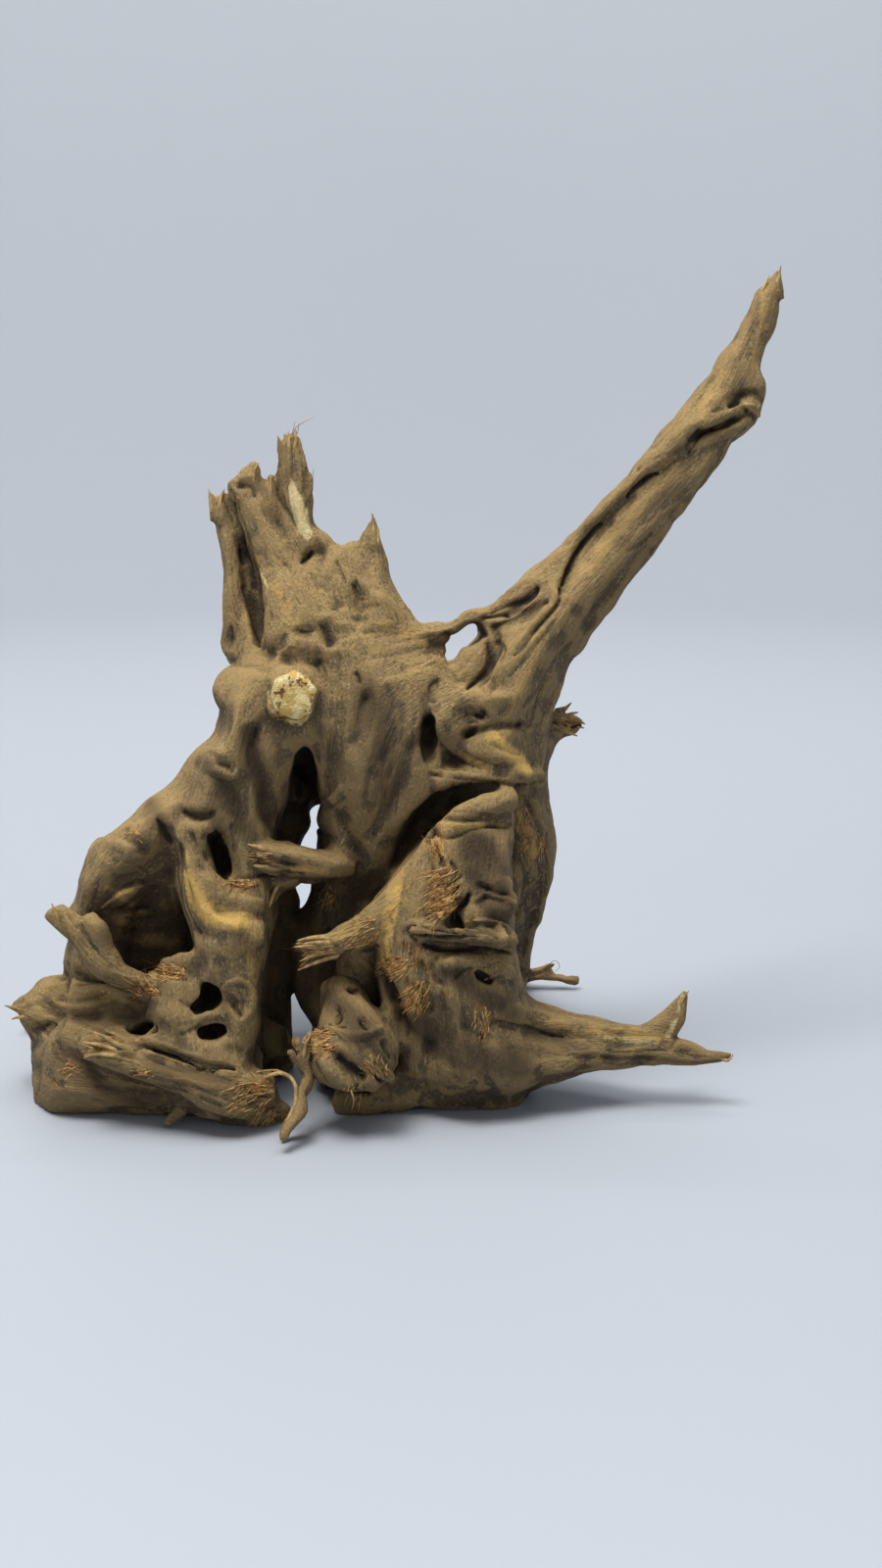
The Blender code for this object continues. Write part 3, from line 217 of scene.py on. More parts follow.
# Where the outline is drawn over to the photograph's: pixel, reach, and how far across and down, in pixels.
NUDGES = (
    (205, 738, 40, 16, 3),
    (228, 700, 26, -4, 0),
    (176, 800, 30, 4, 3),
    (326, 530, 20, -6, 4),
    (404, 596, 30, -5, 0),
    (505, 606, 36, 0, 11),
    (448, 660, 22, 13, -1),
    (464, 636, 18, 0, 5),
    (498, 650, 16, 5, 0),
    (562, 795, 40, -3, 0),
    (362, 550, 16, 0, -8),
    (724, 490, 40, 5, 4),
    (652, 466, 24, -3, -3),
    (592, 664, 24, 4, 2),
    (792, 350, 26, 3, 0),
    (36, 1100, 30, 3, -3),
    (32, 1062, 34, -11, 0),
    (48, 1000, 26, 0, -5),
    (78, 980, 30, 0, -4),
    (24, 1044, 22, -5, 0),
    (54, 938, 30, -12, 0),
    (97, 862, 24, -4, -3),
    (694, 1040, 40, 4, 3),
    (640, 1080, 40, 0, 3),
    (546, 960, 30, -5, 0),
    (340, 1128, 24, -6, 0),
    (293, 1152, 30, -5, 0),
    (314, 1118, 24, -5, 0),
    (186, 1020, 30, 14, 2),
    (334, 836, 20, -7, 0),
    (306, 912, 22, 5, 0),
    (306, 840, 18, 6, 0),
    (345, 1086, 36, -14, 6),
    (384, 1104, 24, 0, 6),
    (320, 1062, 16, -6, 0),
    (576, 757, 16, 0, -5),
    (795, 282, 20, -2, 0),
    (778, 300, 22, -2, 0),
    (798, 304, 26, 2, 0),
    (796, 336, 28, 5, 0),
    (794, 314, 18, 3, 0),
    (738, 362, 26, -3, -2),
    (782, 396, 22, 3, 0),
    (738, 470, 22, 3, 2),
    (698, 516, 20, 3, 2),
    (760, 330, 40, -3, -2),
    (690, 425, 44, -3, -2),
)


def round_over(share):
    """A fold's or a stain's section, which fades out at its edge."""
    return np.clip(1 - share ** 2, 0, 1) ** 2


def photo_board(co):
    """Pixels across and down in the photograph, and the way to the eye, for points in metres."""
    rays = co - np.array(EYE)
    reach = rays @ np.array(AWAY) / PIXELS_AWAY
    px = MIDDLE_X + rays @ np.array(ACROSS) / reach
    py = MIDDLE_Y - rays @ np.array(UP) / reach
    return px, py, -rays / np.linalg.norm(rays, axis=1)[:, None]


def points_of(mesh):
    """Places and normals of a mesh's corners, as arrays."""
    co = np.empty(len(mesh.vertices) * 3)
    mesh.vertices.foreach_get("co", co)
    normals = np.empty(len(co))
    mesh.vertex_normals.foreach_get("vector", normals)
    return co.reshape(-1, 3), normals.reshape(-1, 3)


def put_points(mesh, co):
    """A mesh's corners moved to new places."""
    mesh.vertices.foreach_set("co", co.ravel())
    mesh.update()


def drawn_over(mesh):
    """The mesh's points moved across the sight by the nudges."""
    co = points_of(mesh)[0]
    px, py, _ = photo_board(co)
    pixel_here = (co - np.array(EYE)) @ np.array(AWAY) / PIXELS_AWAY
    for x, y, reach, across, down in NUDGES:
        weight = round_over(np.hypot(px - x, py - y) / reach) * pixel_here
        co += weight[:, None] * (np.array(ACROSS) * across - np.array(UP) * down)
    put_points(mesh, co)


# Here the plain solid has creases which the real wood doesn't have: a pixel, and the reach in pixels.
CALMED = (
    (402, 640, 28),
    (410, 676, 28),
    (340, 690, 20),
    (310, 666, 18),
    (348, 636, 16),
    (388, 740, 30),
    (420, 716, 26),
    (492, 878, 28),
    (150, 962, 26),
    (448, 1040, 24),
)
CALM_ROUNDS = 90
CALM_FACING = 3


def edges_of(mesh):
    """Each edge's two corners, by number."""
    edges = np.empty(len(mesh.edges) * 2, dtype=np.int32)
    mesh.edges.foreach_get("vertices", edges)
    return edges.reshape(-1, 2)


def calmed(mesh):
    """The creases near each calmed place smoothed away, on the side towards the photograph."""
    co, normals = points_of(mesh)
    px, py, _ = photo_board(co)
    share = np.zeros(len(co))
    for x, y, reach in CALMED:
        share = np.maximum(share, round_over(np.hypot(px - x, py - y) / reach))
    share *= np.clip(-normals @ np.array(AWAY) * CALM_FACING, 0, 1)
    edges = edges_of(mesh)
    first, second = edges[share[edges].max(axis=1) > 0].T
    touched = np.maximum(np.bincount(first, minlength=len(co)) + np.bincount(second, minlength=len(co)), 1)
    for _ in range(CALM_ROUNDS):
        for axis in range(3):
            column = co[:, axis]
            mean = np.bincount(first, column[second], len(co)) + np.bincount(second, column[first], len(co))
            co[:, axis] += share * (mean / touched - column)
    put_points(mesh, co)


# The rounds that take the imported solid's facets off, and each round's pull in and push back out.
FACET_ROUNDS = 40
SMOOTH_IN = 0.6
SMOOTH_OUT = -0.56


def rounded(obj, rounds):
    """Creases rounded over, each pull in followed by a push back out that keeps twigs at their size."""
    for _ in range(rounds):
        for factor in (SMOOTH_IN, SMOOTH_OUT):
            smooth = obj.modifiers.new("weather", "SMOOTH")
            smooth.factor = factor
            smooth.iterations = 1
    worked_in(obj)


def tree_of(mesh):
    """A tree of a mesh's faces, to send rays at."""
    return BVHTree.FromPolygons([v.co for v in mesh.vertices], [p.vertices for p in mesh.polygons])


drawn_over(driftwood.data)
rounded(driftwood, FACET_ROUNDS)
calmed(driftwood.data)
form_tree = tree_of(driftwood.data)

# Cracks are narrow and sharp, folds and ridges broad and round: a height, then pixels across, pixels down
# and half a width in pixels. A height under 0 goes into the wood. Long horn.
HORN_CRACKS = (
    (-6, (574, 597, 2), (578, 586, 2.6), (584, 573, 3), (592, 560, 3.2), (600, 549, 3.2), (608, 540, 3),
     (614, 535, 2.4)),
    (-1, (614, 534, 2), (624, 527, 1.8), (634, 518, 1.8), (641, 509, 1.8)),
    (-6, (641, 507, 2), (648, 499, 3), (656, 492, 3.3), (664, 486, 3), (672, 483, 2)),
    (-1, (672, 482, 1.8), (684, 474, 1.8), (694, 469, 1.8), (702, 465, 1.8)),
    (-3, (703, 461, 2), (708, 455, 3), (713, 447, 4), (718, 443, 4), (726, 440, 3.5), (734, 438, 3)),
    (-3, (734, 438, 2.5), (741, 434, 3.5), (746, 431, 3.5), (752, 429, 2)),
    (-1.5, (640, 470, 2), (660, 452, 2.5), (672, 444, 2)),
    (-1.5, (650, 480, 2), (665, 470, 2.5), (680, 463, 2)),
    (-3, (728, 420, 2), (733, 418, 3.5), (738, 418, 2)),
    (-3.5, (744, 414, 2), (749, 412, 3.5), (754, 408, 2.5)),
    (-2, (756, 411, 2), (765, 410, 2.5), (772, 412, 2.5), (776, 418, 2)),
    (-1.5, (735, 447, 2), (748, 441, 2.5), (760, 436, 2)),
    (-1.5, (640, 562, 2), (655, 552, 2.5), (664, 543, 2)),
    (-1.5, (675, 520, 2), (690, 508, 2.5), (700, 498, 2)),
    (-1.2, (700, 425, 2), (718, 400, 2.5), (735, 375, 2.5), (748, 350, 2)),
    (-1.2, (735, 400, 2), (752, 372, 2.5), (766, 345, 2.5), (776, 320, 2)),
)
HORN_FOLDS = (
    (3.5, (644, 530, 11), (658, 518, 14), (674, 504, 14), (690, 490, 12)),
    (6, (706, 456, 7), (720, 450, 9), (738, 442, 9), (754, 434, 7), (764, 428, 5)),
    (3, (600, 536, 5), (618, 518, 6), (640, 496, 6), (660, 478, 6), (680, 462, 6), (698, 450, 5)),
    (3.5, (716, 436, 4), (728, 430, 5), (742, 424, 6), (756, 420, 6)),
    (-2.5, (744, 416, 3), (752, 408, 5), (762, 402, 6), (770, 400, 5)),
    (3, (757, 414, 3), (766, 413, 3.5), (772, 417, 4), (774, 424, 4)),
    (-3, (762, 420, 4), (768, 424, 5), (770, 430, 4)),
    (2, (612, 590, 14), (640, 562, 16), (668, 534, 16), (700, 500, 14)),
)
# Foot of the horn.
HORN_FOOT_CRACKS = (
    (-5, (497, 626, 2.5), (508, 622, 3.5), (520, 618, 4.5), (532, 614, 4), (543, 607, 3.5),
     (548, 600, 2.5)),
    (-2, (492, 630, 2), (505, 629, 2.5), (517, 627, 2)),
    (-5, (572, 600, 2.5), (571, 612, 3), (566, 621, 3.5), (558, 630, 3.5), (549, 640, 3.5), (540, 650, 3),
     (532, 660, 3), (524, 668, 2)),
    (-5, (495, 648, 3), (499, 658, 4.5), (501, 668, 5), (500, 678, 5), (494, 688, 4), (484, 696, 3),
     (477, 702, 2)),
    (-2, (520, 690, 2), (535, 675, 2.5), (550, 655, 3), (565, 635, 3), (580, 612, 2.5)),
    (-3, (438, 703, 1.5), (442, 698, 3), (447, 694, 3.5), (446, 700, 2)),
    (-1.5, (462, 700, 1.5), (470, 703, 2.5), (474, 710, 2.5), (472, 716, 2)),
    (-1.2, (560, 720, 2), (575, 690, 2.5), (590, 660, 2.5), (606, 630, 2)),
    (-1.2, (535, 720, 2), (552, 700, 2.5), (570, 665, 2.5)),
)
HORN_FOOT_FOLDS = (
    (2.5, (480, 618, 3), (500, 611, 4), (520, 602, 4), (540, 590, 4)),
    (3, (496, 634, 3), (506, 633, 4), (515, 631, 3)),
    (-4, (505, 640, 5), (515, 634, 7), (530, 626, 8), (545, 620, 7), (556, 614, 5)),
    (-3, (508, 655, 4), (514, 665, 5), (512, 675, 4)),
    (3, (503, 690, 4), (510, 678, 5), (520, 665, 5), (532, 652, 5), (545, 636, 5), (558, 620, 4)),
    (2.5, (470, 690, 5), (482, 678, 6), (490, 662, 6), (495, 648, 4)),
)
# Brow and lip.
BROW_CRACKS = (
    (-4, (486, 730, 3), (490, 731, 4), (492, 728, 3)),
    (-2.5, (478, 738, 2), (484, 736, 3), (487, 740, 3), (480, 748, 3), (476, 752, 2)),
    (-2, (444, 752, 2), (452, 762, 2.5), (462, 772, 2.5), (475, 779, 2.5), (490, 784, 2)),
    (-1.5, (500, 758, 2), (515, 766, 2.5), (530, 770, 2)),
    (-1.5, (470, 765, 2), (488, 775, 2.5), (508, 782, 2)),
    (-2, (440, 790, 2), (455, 793, 2.5), (475, 795, 3), (500, 798, 3), (530, 802, 2.5)),
)
BROW_FOLDS = (
    (-3, (478, 750, 4), (488, 746, 5), (500, 742, 6), (515, 741, 6), (530, 740, 4)),
    (2.5, (440, 720, 4), (446, 735, 5), (452, 750, 5)),
    (2.5, (440, 786, 3), (460, 789, 4), (485, 792, 4), (510, 795, 4), (535, 797, 3)),
    (-3, (543, 780, 3), (548, 788, 5), (552, 796, 5)),
)
# Crown.
CROWN_CRACKS = (
    (-1.6, (384, 650, 2), (410, 646, 2.5), (440, 640, 2)),
    (-1.8, (378, 672, 2), (404, 668, 3), (432, 660, 2)),
    (-1.4, (392, 690, 2), (420, 684, 2.5), (446, 676, 2)),
    (-5, (364, 687, 2.5), (367, 696, 2.6)),
    (-5, (246, 536, 3), (249, 546, 3.5), (250, 556, 2.5), (252, 566, 2.5), (255, 576, 3), (258, 588, 3),
     (260, 600, 4)),
    (-3, (236, 500, 2), (240, 512, 3), (241, 524, 3), (244, 534, 2.5)),
    (-2, (228, 510, 2), (232, 520, 2.5), (238, 532, 2.5)),
    (-1.5, (235, 570, 2), (238, 590, 2.5), (238, 612, 2)),
    (-2.5, (236, 640, 2), (236, 650, 5), (234, 660, 4)),
    (-1.5, (262, 565, 2), (268, 567, 2.5)),
    (-1.5, (268, 590, 2), (274, 594, 2.5)),
    (-2, (274, 488, 2), (275, 496, 2.5)),
    (-2.5, (282, 470, 2), (283, 490, 2.5), (284, 505, 2.5), (289, 515, 2.5), (295, 525, 2.5),
     (301, 536, 2)),
    (-2, (298, 455, 2), (299, 470, 2.5), (298, 486, 2)),
    (-2, (305, 450, 2), (308, 470, 2.5), (309, 490, 3), (311, 505, 3)),
    (-3.5, (308, 574, 2.2), (313, 570, 3), (318, 564, 2)),
    (-2, (318, 585, 2), (323, 592, 3), (326, 600, 3)),
    (-1.5, (312, 590, 2), (318, 600, 2)),
    (-3, (344, 574, 2), (347, 581, 2.5), (350, 588, 2.5), (353, 594, 2)),
    (-1.5, (340, 621, 2), (350, 621, 3), (358, 623, 2)),
    (-1.2, (366, 621, 2), (374, 621, 2.6), (380, 619, 2)),
    (-1.5, (303, 642, 1.6), (308, 644, 1.8), (318, 644, 1.8), (323, 642, 1.6)),
    (-2, (285, 662, 2), (292, 657, 2.5), (300, 655, 2)),
    (-2, (362, 688, 2), (367, 692, 3), (366, 697, 2)),
    (-1.2, (350, 650, 2), (380, 645, 2.5), (420, 648, 2)),
    (-1.2, (400, 655, 2), (425, 652, 2.5), (445, 648, 2)),
    (-1.2, (270, 560, 2), (272, 590, 2.5), (271, 620, 2)),
    (-1.2, (290, 575, 2), (292, 605, 2.5), (290, 635, 2)),
    (-1.2, (312, 610, 2), (318, 630, 2.5), (330, 640, 2)),
    (-2, (440, 655, 2), (450, 650, 2.5), (462, 643, 2.5), (475, 636, 2)),
    (-1.5, (425, 640, 2), (445, 641, 2.5), (465, 634, 2.5), (485, 626, 2)),
    (-2.5, (410, 682, 2), (422, 680, 3), (432, 675, 3), (440, 671, 2)),
    (-2, (447, 672, 2), (456, 669, 3), (466, 664, 3.5), (478, 659, 3.5), (488, 654, 2.5)),
)
CROWN_FOLDS = (
    (-5, (246, 562, 4), (248, 568, 5), (249, 574, 4)),
    (-4, (250, 600, 6), (256, 615, 9), (260, 632, 9), (264, 648, 8), (268, 660, 6)),
    (-4, (243, 497, 4), (250, 496, 6), (257, 498, 5), (259, 505, 4)),
    (2, (240, 491, 3), (250, 487, 4), (260, 487, 3)),
    (1.5, (232, 560, 3), (234, 590, 4), (236, 620, 4)),
    (-3, (311, 480, 3), (313, 495, 4.5), (314, 512, 4), (312, 522, 3)),
    (2, (300, 498, 2.5), (303, 512, 3.5), (306, 528, 4), (308, 540, 3)),
    (-2.5, (328, 597, 4), (333, 602, 4)),
    (-1, (348, 560, 4), (352, 568, 6), (350, 580, 5)),
    (5, (345, 594, 9), (350, 606, 11), (350, 618, 9)),
    (7, (360, 594, 10), (367, 606, 13), (374, 617, 11)),
    (-2, (372, 545, 5), (378, 560, 7), (384, 580, 7)),
    (-1.5, (328, 640, 4), (334, 648, 6), (338, 655, 5), (333, 660, 4)),
    (-2, (272, 664, 5), (280, 662, 6), (287, 656, 5), (290, 650, 4)),
    (3, (345, 637, 6), (368, 638, 7), (398, 637, 6)),
    (4, (331, 682, 7), (338, 690, 8)),
)
# Trunk front, tongue and cross stub.
TRUNK_CRACKS = (
    (-1.2, (336, 760, 2), (334, 790, 2.5), (336, 812, 2)),
    (-2, (330, 826, 2), (342, 822, 3), (350, 815, 2)),
    (-1.5, (350, 868, 2), (364, 878, 2.5), (372, 888, 2)),
    (-1.2, (345, 700, 2), (350, 730, 2.5), (348, 770, 2)),
    (-1.2, (420, 700, 2), (424, 730, 2.5), (420, 765, 2)),
    (-1.2, (400, 780, 2), (392, 815, 2.5), (380, 845, 2)),
    (-2.5, (262, 862, 2), (268, 870, 3), (276, 876, 3), (288, 880, 3), (300, 884, 2.5)),
    (-2, (264, 880, 2), (278, 884, 2.5), (296, 890, 2)),
    (-3, (240, 898, 2), (256, 896, 3), (270, 893, 3), (290, 892, 2.5), (310, 893, 2)),
    (-1.5, (300, 868, 2), (310, 874, 2.5), (318, 882, 2)),
)
TRUNK_FOLDS = (
    (-1.75, (372, 712, 5), (370, 724, 7), (366, 740, 8), (360, 755, 7)),
    (-1.4, (396, 700, 5), (402, 716, 6), (398, 735, 7)),
    (-1.4, (410, 720, 5), (412, 740, 6), (410, 760, 5)),
    (1.05, (384, 704, 5), (386, 725, 6), (382, 750, 6)),
    (3, (330, 818, 4), (338, 814, 5), (344, 808, 5), (348, 802, 4)),
    (-1.4, (344, 830, 6), (352, 850, 8), (366, 870, 8)),
    (-1.4, (384, 760, 6), (380, 785, 7), (372, 810, 7)),
    (2, (264, 872, 3), (272, 873, 3.5)),
)
# Thigh, knots and knuckle.
THIGH_CRACKS = (
    (-1.5, (256, 748, 2), (252, 765, 2.5), (254, 780, 2)),
    (-1.2, (206, 771, 2), (212, 768, 2.5), (218, 771, 2.5), (222, 777, 2)),
    (-2, (222, 780, 2), (230, 781, 3), (236, 786, 3), (234, 792, 2)),
    (-1.5, (210, 789, 2), (218, 794, 2.5), (226, 797, 2)),
    (-4, (188, 829, 3), (196, 833, 6), (206, 834, 7), (214, 832, 5), (218, 828, 3)),
    (-4, (161, 837, 2), (165, 843, 3.5), (169, 851, 4), (173, 858, 3.5), (174, 862, 2)),
    (-2, (236, 842, 2), (238, 855, 2.5), (239, 868, 2)),
    (-3, (209, 868, 2), (211, 874, 3.5), (212, 878, 2)),
    (-3.5, (183, 862, 2), (183, 880, 3), (184, 900, 3), (187, 918, 3), (192, 934, 3.5), (199, 946, 4),
     (204, 952, 3)),
    (-2, (116, 862, 2), (114, 872, 3), (117, 882, 2)),
    (-1.5, (128, 880, 2), (142, 884, 2.5), (152, 893, 2.5)),
    (-1.2, (150, 815, 2), (165, 800, 2.5), (185, 788, 2)),
    (-1.2, (205, 740, 2), (215, 720, 2.5), (226, 700, 2)),
    (-1.2, (232, 700, 2), (226, 730, 2.5), (222, 755, 2)),
    (-3, (106, 928, 2), (118, 927, 3), (130, 923, 3), (140, 916, 2.5), (148, 908, 2)),
    (-3, (128, 934, 2), (138, 938, 3), (148, 936, 2.5), (153, 932, 2)),
    (-1, (96, 860, 2), (90, 900, 2.5), (84, 925, 2)),
    (-1, (105, 880, 2), (99, 905, 2.5), (93, 930, 2)),
)
THIGH_FOLDS = (
    (-2, (262, 745, 5), (258, 760, 6)),
    (1.2, (203, 768, 3), (208, 763, 4), (216, 763, 4), (224, 768, 4), (228, 773, 3)),
    (1, (216, 786, 4), (224, 790, 5), (232, 793, 5), (240, 788, 4)),
    (-1.5, (203, 800, 5), (208, 812, 6)),
    (-2, (148, 838, 3), (153, 842, 5), (157, 846, 4)),
    (2, (214, 846, 3), (222, 852, 3.5), (229, 864, 3.5), (233, 880, 3.5), (233, 894, 3)),
    (-3, (196, 852, 5), (200, 866, 7), (205, 882, 7), (210, 895, 5)),
    (2.5, (176, 905, 3), (178, 918, 4), (181, 930, 3.5)),
    (-2, (118, 868, 4), (124, 872, 5), (120, 880, 4)),
    (2.5, (122, 860, 4), (130, 864, 5), (138, 866, 4)),
    (8, (106, 926, 2.5), (115, 919, 5.5), (126, 912, 7), (136, 906, 6), (143, 902, 3)),
    (8, (122, 932, 2.5), (133, 931, 5), (144, 930, 5.5), (154, 931, 2.5)),
    (-4, (104, 935, 6), (120, 945, 9), (140, 950, 9), (160, 950, 8)),
    (-5, (120, 962, 12), (145, 970, 14), (175, 972, 12), (195, 966, 8)),
)
# Fork, ledge and the holes under it.
LEDGE_CRACKS = (
    (-12, (133, 1050, 4), (144, 1050, 6), (155, 1050, 4)),
    (-2, (58, 930, 2), (66, 945, 2.5), (76, 960, 2.5), (88, 975, 2)),
    (-1.5, (70, 932, 2), (78, 944, 2.5), (88, 955, 2)),
    (-1.5, (110, 985, 2), (130, 992, 2.5), (150, 997, 2)),
    (-3, (160, 990, 2), (164, 994, 3), (168, 990, 2)),
    (-2, (172, 986, 2), (180, 990, 2.5), (188, 988, 2)),
    (-2, (244, 1012, 2), (248, 1022, 2.5), (246, 1034, 2)),
    (-6, (113, 1067, 1.5), (133, 1073, 1.7), (150, 1073, 1.7), (161, 1073, 1.7), (178, 1078, 1.7),
     (192, 1085, 1.7),
     (214, 1091, 1.6), (239, 1092, 1.4)),
    (-4, (136, 1074, 1.4), (148, 1079, 1.6), (158, 1083, 1.8), (168, 1086, 1.4)),
    (-3, (238, 1026, 3), (242, 1031, 4), (245, 1035, 3)),
    (-1.5, (180, 1088, 2), (192, 1092, 2.5), (204, 1094, 2)),
    (-2, (88, 1072, 2), (100, 1076, 3), (120, 1082, 3), (140, 1088, 3)),
    (-1.5, (115, 1095, 2), (140, 1103, 2.5), (165, 1108, 2.5), (190, 1114, 2)),
    (-1.5, (150, 1093, 2), (180, 1098, 2.5), (215, 1103, 2.5), (240, 1106, 2)),
)
LEDGE_FOLDS = (
    (9, (116, 948, 26), (150, 964, 28), (188, 976, 20)),
    (-8, (134, 1050, 7), (144, 1050, 8), (156, 1050, 7)),
    (9, (208, 894, 11), (220, 910, 18), (242, 922, 18), (258, 926, 12)),
    (4, (204, 962, 12), (222, 968, 15), (246, 966, 14)),
    (2.5, (228, 1009, 4), (236, 1002, 5), (247, 1001, 5), (256, 1009, 5), (259, 1021, 5), (255, 1034, 5),
     (246, 1042, 4)),
    (-2, (237, 1018, 7), (241, 1028, 8), (245, 1034, 6)),
    (2, (172, 1041, 5), (190, 1038, 6), (210, 1036, 6), (228, 1034, 6)),
    (2, (120, 1060, 4), (140, 1063, 5), (162, 1064, 5), (184, 1072, 5), (204, 1078, 5)),
    (7, (124, 1073, 4), (150, 1078, 6), (180, 1085, 7), (212, 1092, 7), (240, 1096, 5)),
    (-2, (84, 945, 3), (90, 958, 4), (98, 970, 3.5)),
    (3, (236, 918, 6), (250, 918, 7), (264, 920, 6)),
    (-3, (184, 1022, 4), (190, 1026, 5), (198, 1028, 4)),
    (2, (180, 1035, 4), (196, 1032, 4), (212, 1030, 4)),
    (1.5, (232, 1002, 4), (244, 1000, 4), (254, 1006, 4), (258, 1018, 4)),
    (-3, (185, 1056, 4), (195, 1052, 5), (205, 1048, 5)),
    (2, (150, 1078, 2.5), (164, 1080, 3), (176, 1084, 2.5)),
    (-3, (100, 1108, 5), (130, 1112, 7), (160, 1115, 7)),
)
# Left foot.
LEFT_FOOT_CRACKS = (
    (-2.5, (66, 993, 2), (78, 998, 3), (92, 1001, 3), (108, 1003, 2.5), (120, 1006, 2.5),
     (132, 1010, 2.5), (145, 1010, 2)),
    (-2, (80, 1004, 2), (96, 1003, 2.5), (112, 1006, 2)),
    (-2, (60, 1020, 2), (78, 1022, 2.5), (96, 1018, 2.5), (108, 1014, 2)),
    (-1.5, (100, 1028, 2), (116, 1024, 2.5), (130, 1026, 2.5), (136, 1032, 2)),
    (-1.5, (20, 1030, 2), (32, 1026, 2.5), (46, 1024, 2)),
    (-1.5, (28, 1040, 2), (40, 1045, 2.5), (50, 1058, 2.5), (54, 1070, 2)),
    (-1.2, (56, 1075, 2), (66, 1088, 2.5), (74, 1100, 2)),
    (-1.5, (216, 1112, 2), (236, 1120, 2.5), (258, 1126, 2)),
    (-1.5, (240, 1106, 2), (262, 1116, 2.5), (280, 1120, 2)),
    (-1.5, (205, 1120, 2), (225, 1128, 2.5)),
)
LEFT_FOOT_FOLDS = (
    (2.5, (62, 1014, 3), (80, 1017, 4), (95, 1013, 4), (108, 1007, 3.5)),
    (2, (66, 1026, 3.5), (84, 1028, 4), (102, 1023, 4), (122, 1018, 3.5), (134, 1022, 3)),
    (-3, (48, 1046, 3), (54, 1044, 5), (60, 1050, 4.5)),
    (1.5, (44, 1056, 3), (50, 1062, 4), (60, 1060, 3.5), (66, 1052, 3)),
    (-1.5, (62, 1070, 4), (70, 1085, 5), (78, 1095, 5)),
)
# Knob in front of the slot.
KNOB_CRACKS = (
    (-8, (357, 1009, 2.4), (361, 1010, 3.4), (365, 1010, 2.2)),
    (-6, (380, 1083, 1.6), (387, 1091, 2), (392, 1098, 1.6)),
    (-6, (373, 1090, 1.6), (382, 1098, 2), (390, 1104, 1.6)),
    (-9, (354, 1108, 3), (364, 1113, 4.5), (376, 1116, 3)),
    (-4, (336, 1045, 2), (345, 1049, 2.4), (352, 1048, 2)),
    (-3, (340, 1022, 1.8), (345, 1028, 2.2), (350, 1030, 1.8)),
    (-3, (332, 1068, 1.8), (342, 1074, 2), (350, 1074, 1.8)),
    (-3, (392, 1040, 2), (400, 1056, 2.4), (406, 1074, 2)),
)
KNOB_FOLDS = (
    (-9, (345, 1029, 5), (348, 1035, 7), (344, 1042, 6)),
    (-8, (369, 1041, 5), (373, 1046, 7), (376, 1050, 5)),
    (7, (340, 1050, 5), (354, 1056, 7), (370, 1056, 7), (386, 1050, 6)),
    (-13, (346, 1080, 9), (357, 1090, 12), (368, 1098, 9)),
    (8, (326, 1064, 6), (330, 1080, 7), (342, 1098, 7), (358, 1106, 5)),
    (10, (376, 1076, 7), (388, 1090, 9), (399, 1101, 7)),
    (-5, (392, 1064, 6), (400, 1078, 7)),
)
# Ridge of the root block.
RIDGE_CRACKS = (
    (-2, (304, 962, 2), (320, 960, 2.5), (340, 956, 2.5), (360, 950, 2)),
    (-2, (306, 972, 2), (325, 968, 2.5), (345, 965, 2.5)),
    (-1.5, (310, 982, 2), (330, 975, 2.5), (350, 968, 2)),
    (-1.5, (318, 955, 2), (340, 948, 2.5), (362, 940, 2)),
    (-1.5, (360, 956, 2), (375, 960, 2.5), (385, 966, 2)),
    (-2, (366, 975, 2), (380, 985, 3), (395, 992, 2)),
    (-1.2, (396, 930, 2), (402, 950, 2.5), (404, 975, 2)),
    (-1.2, (420, 880, 2), (412, 905, 2.5), (408, 925, 2)),
)
RIDGE_FOLDS = (
    (-3, (368, 972, 3), (378, 970, 4.5), (384, 966, 3)),
    (2, (362, 935, 4), (385, 915, 5), (402, 895, 5), (415, 875, 5), (424, 860, 4)),
)
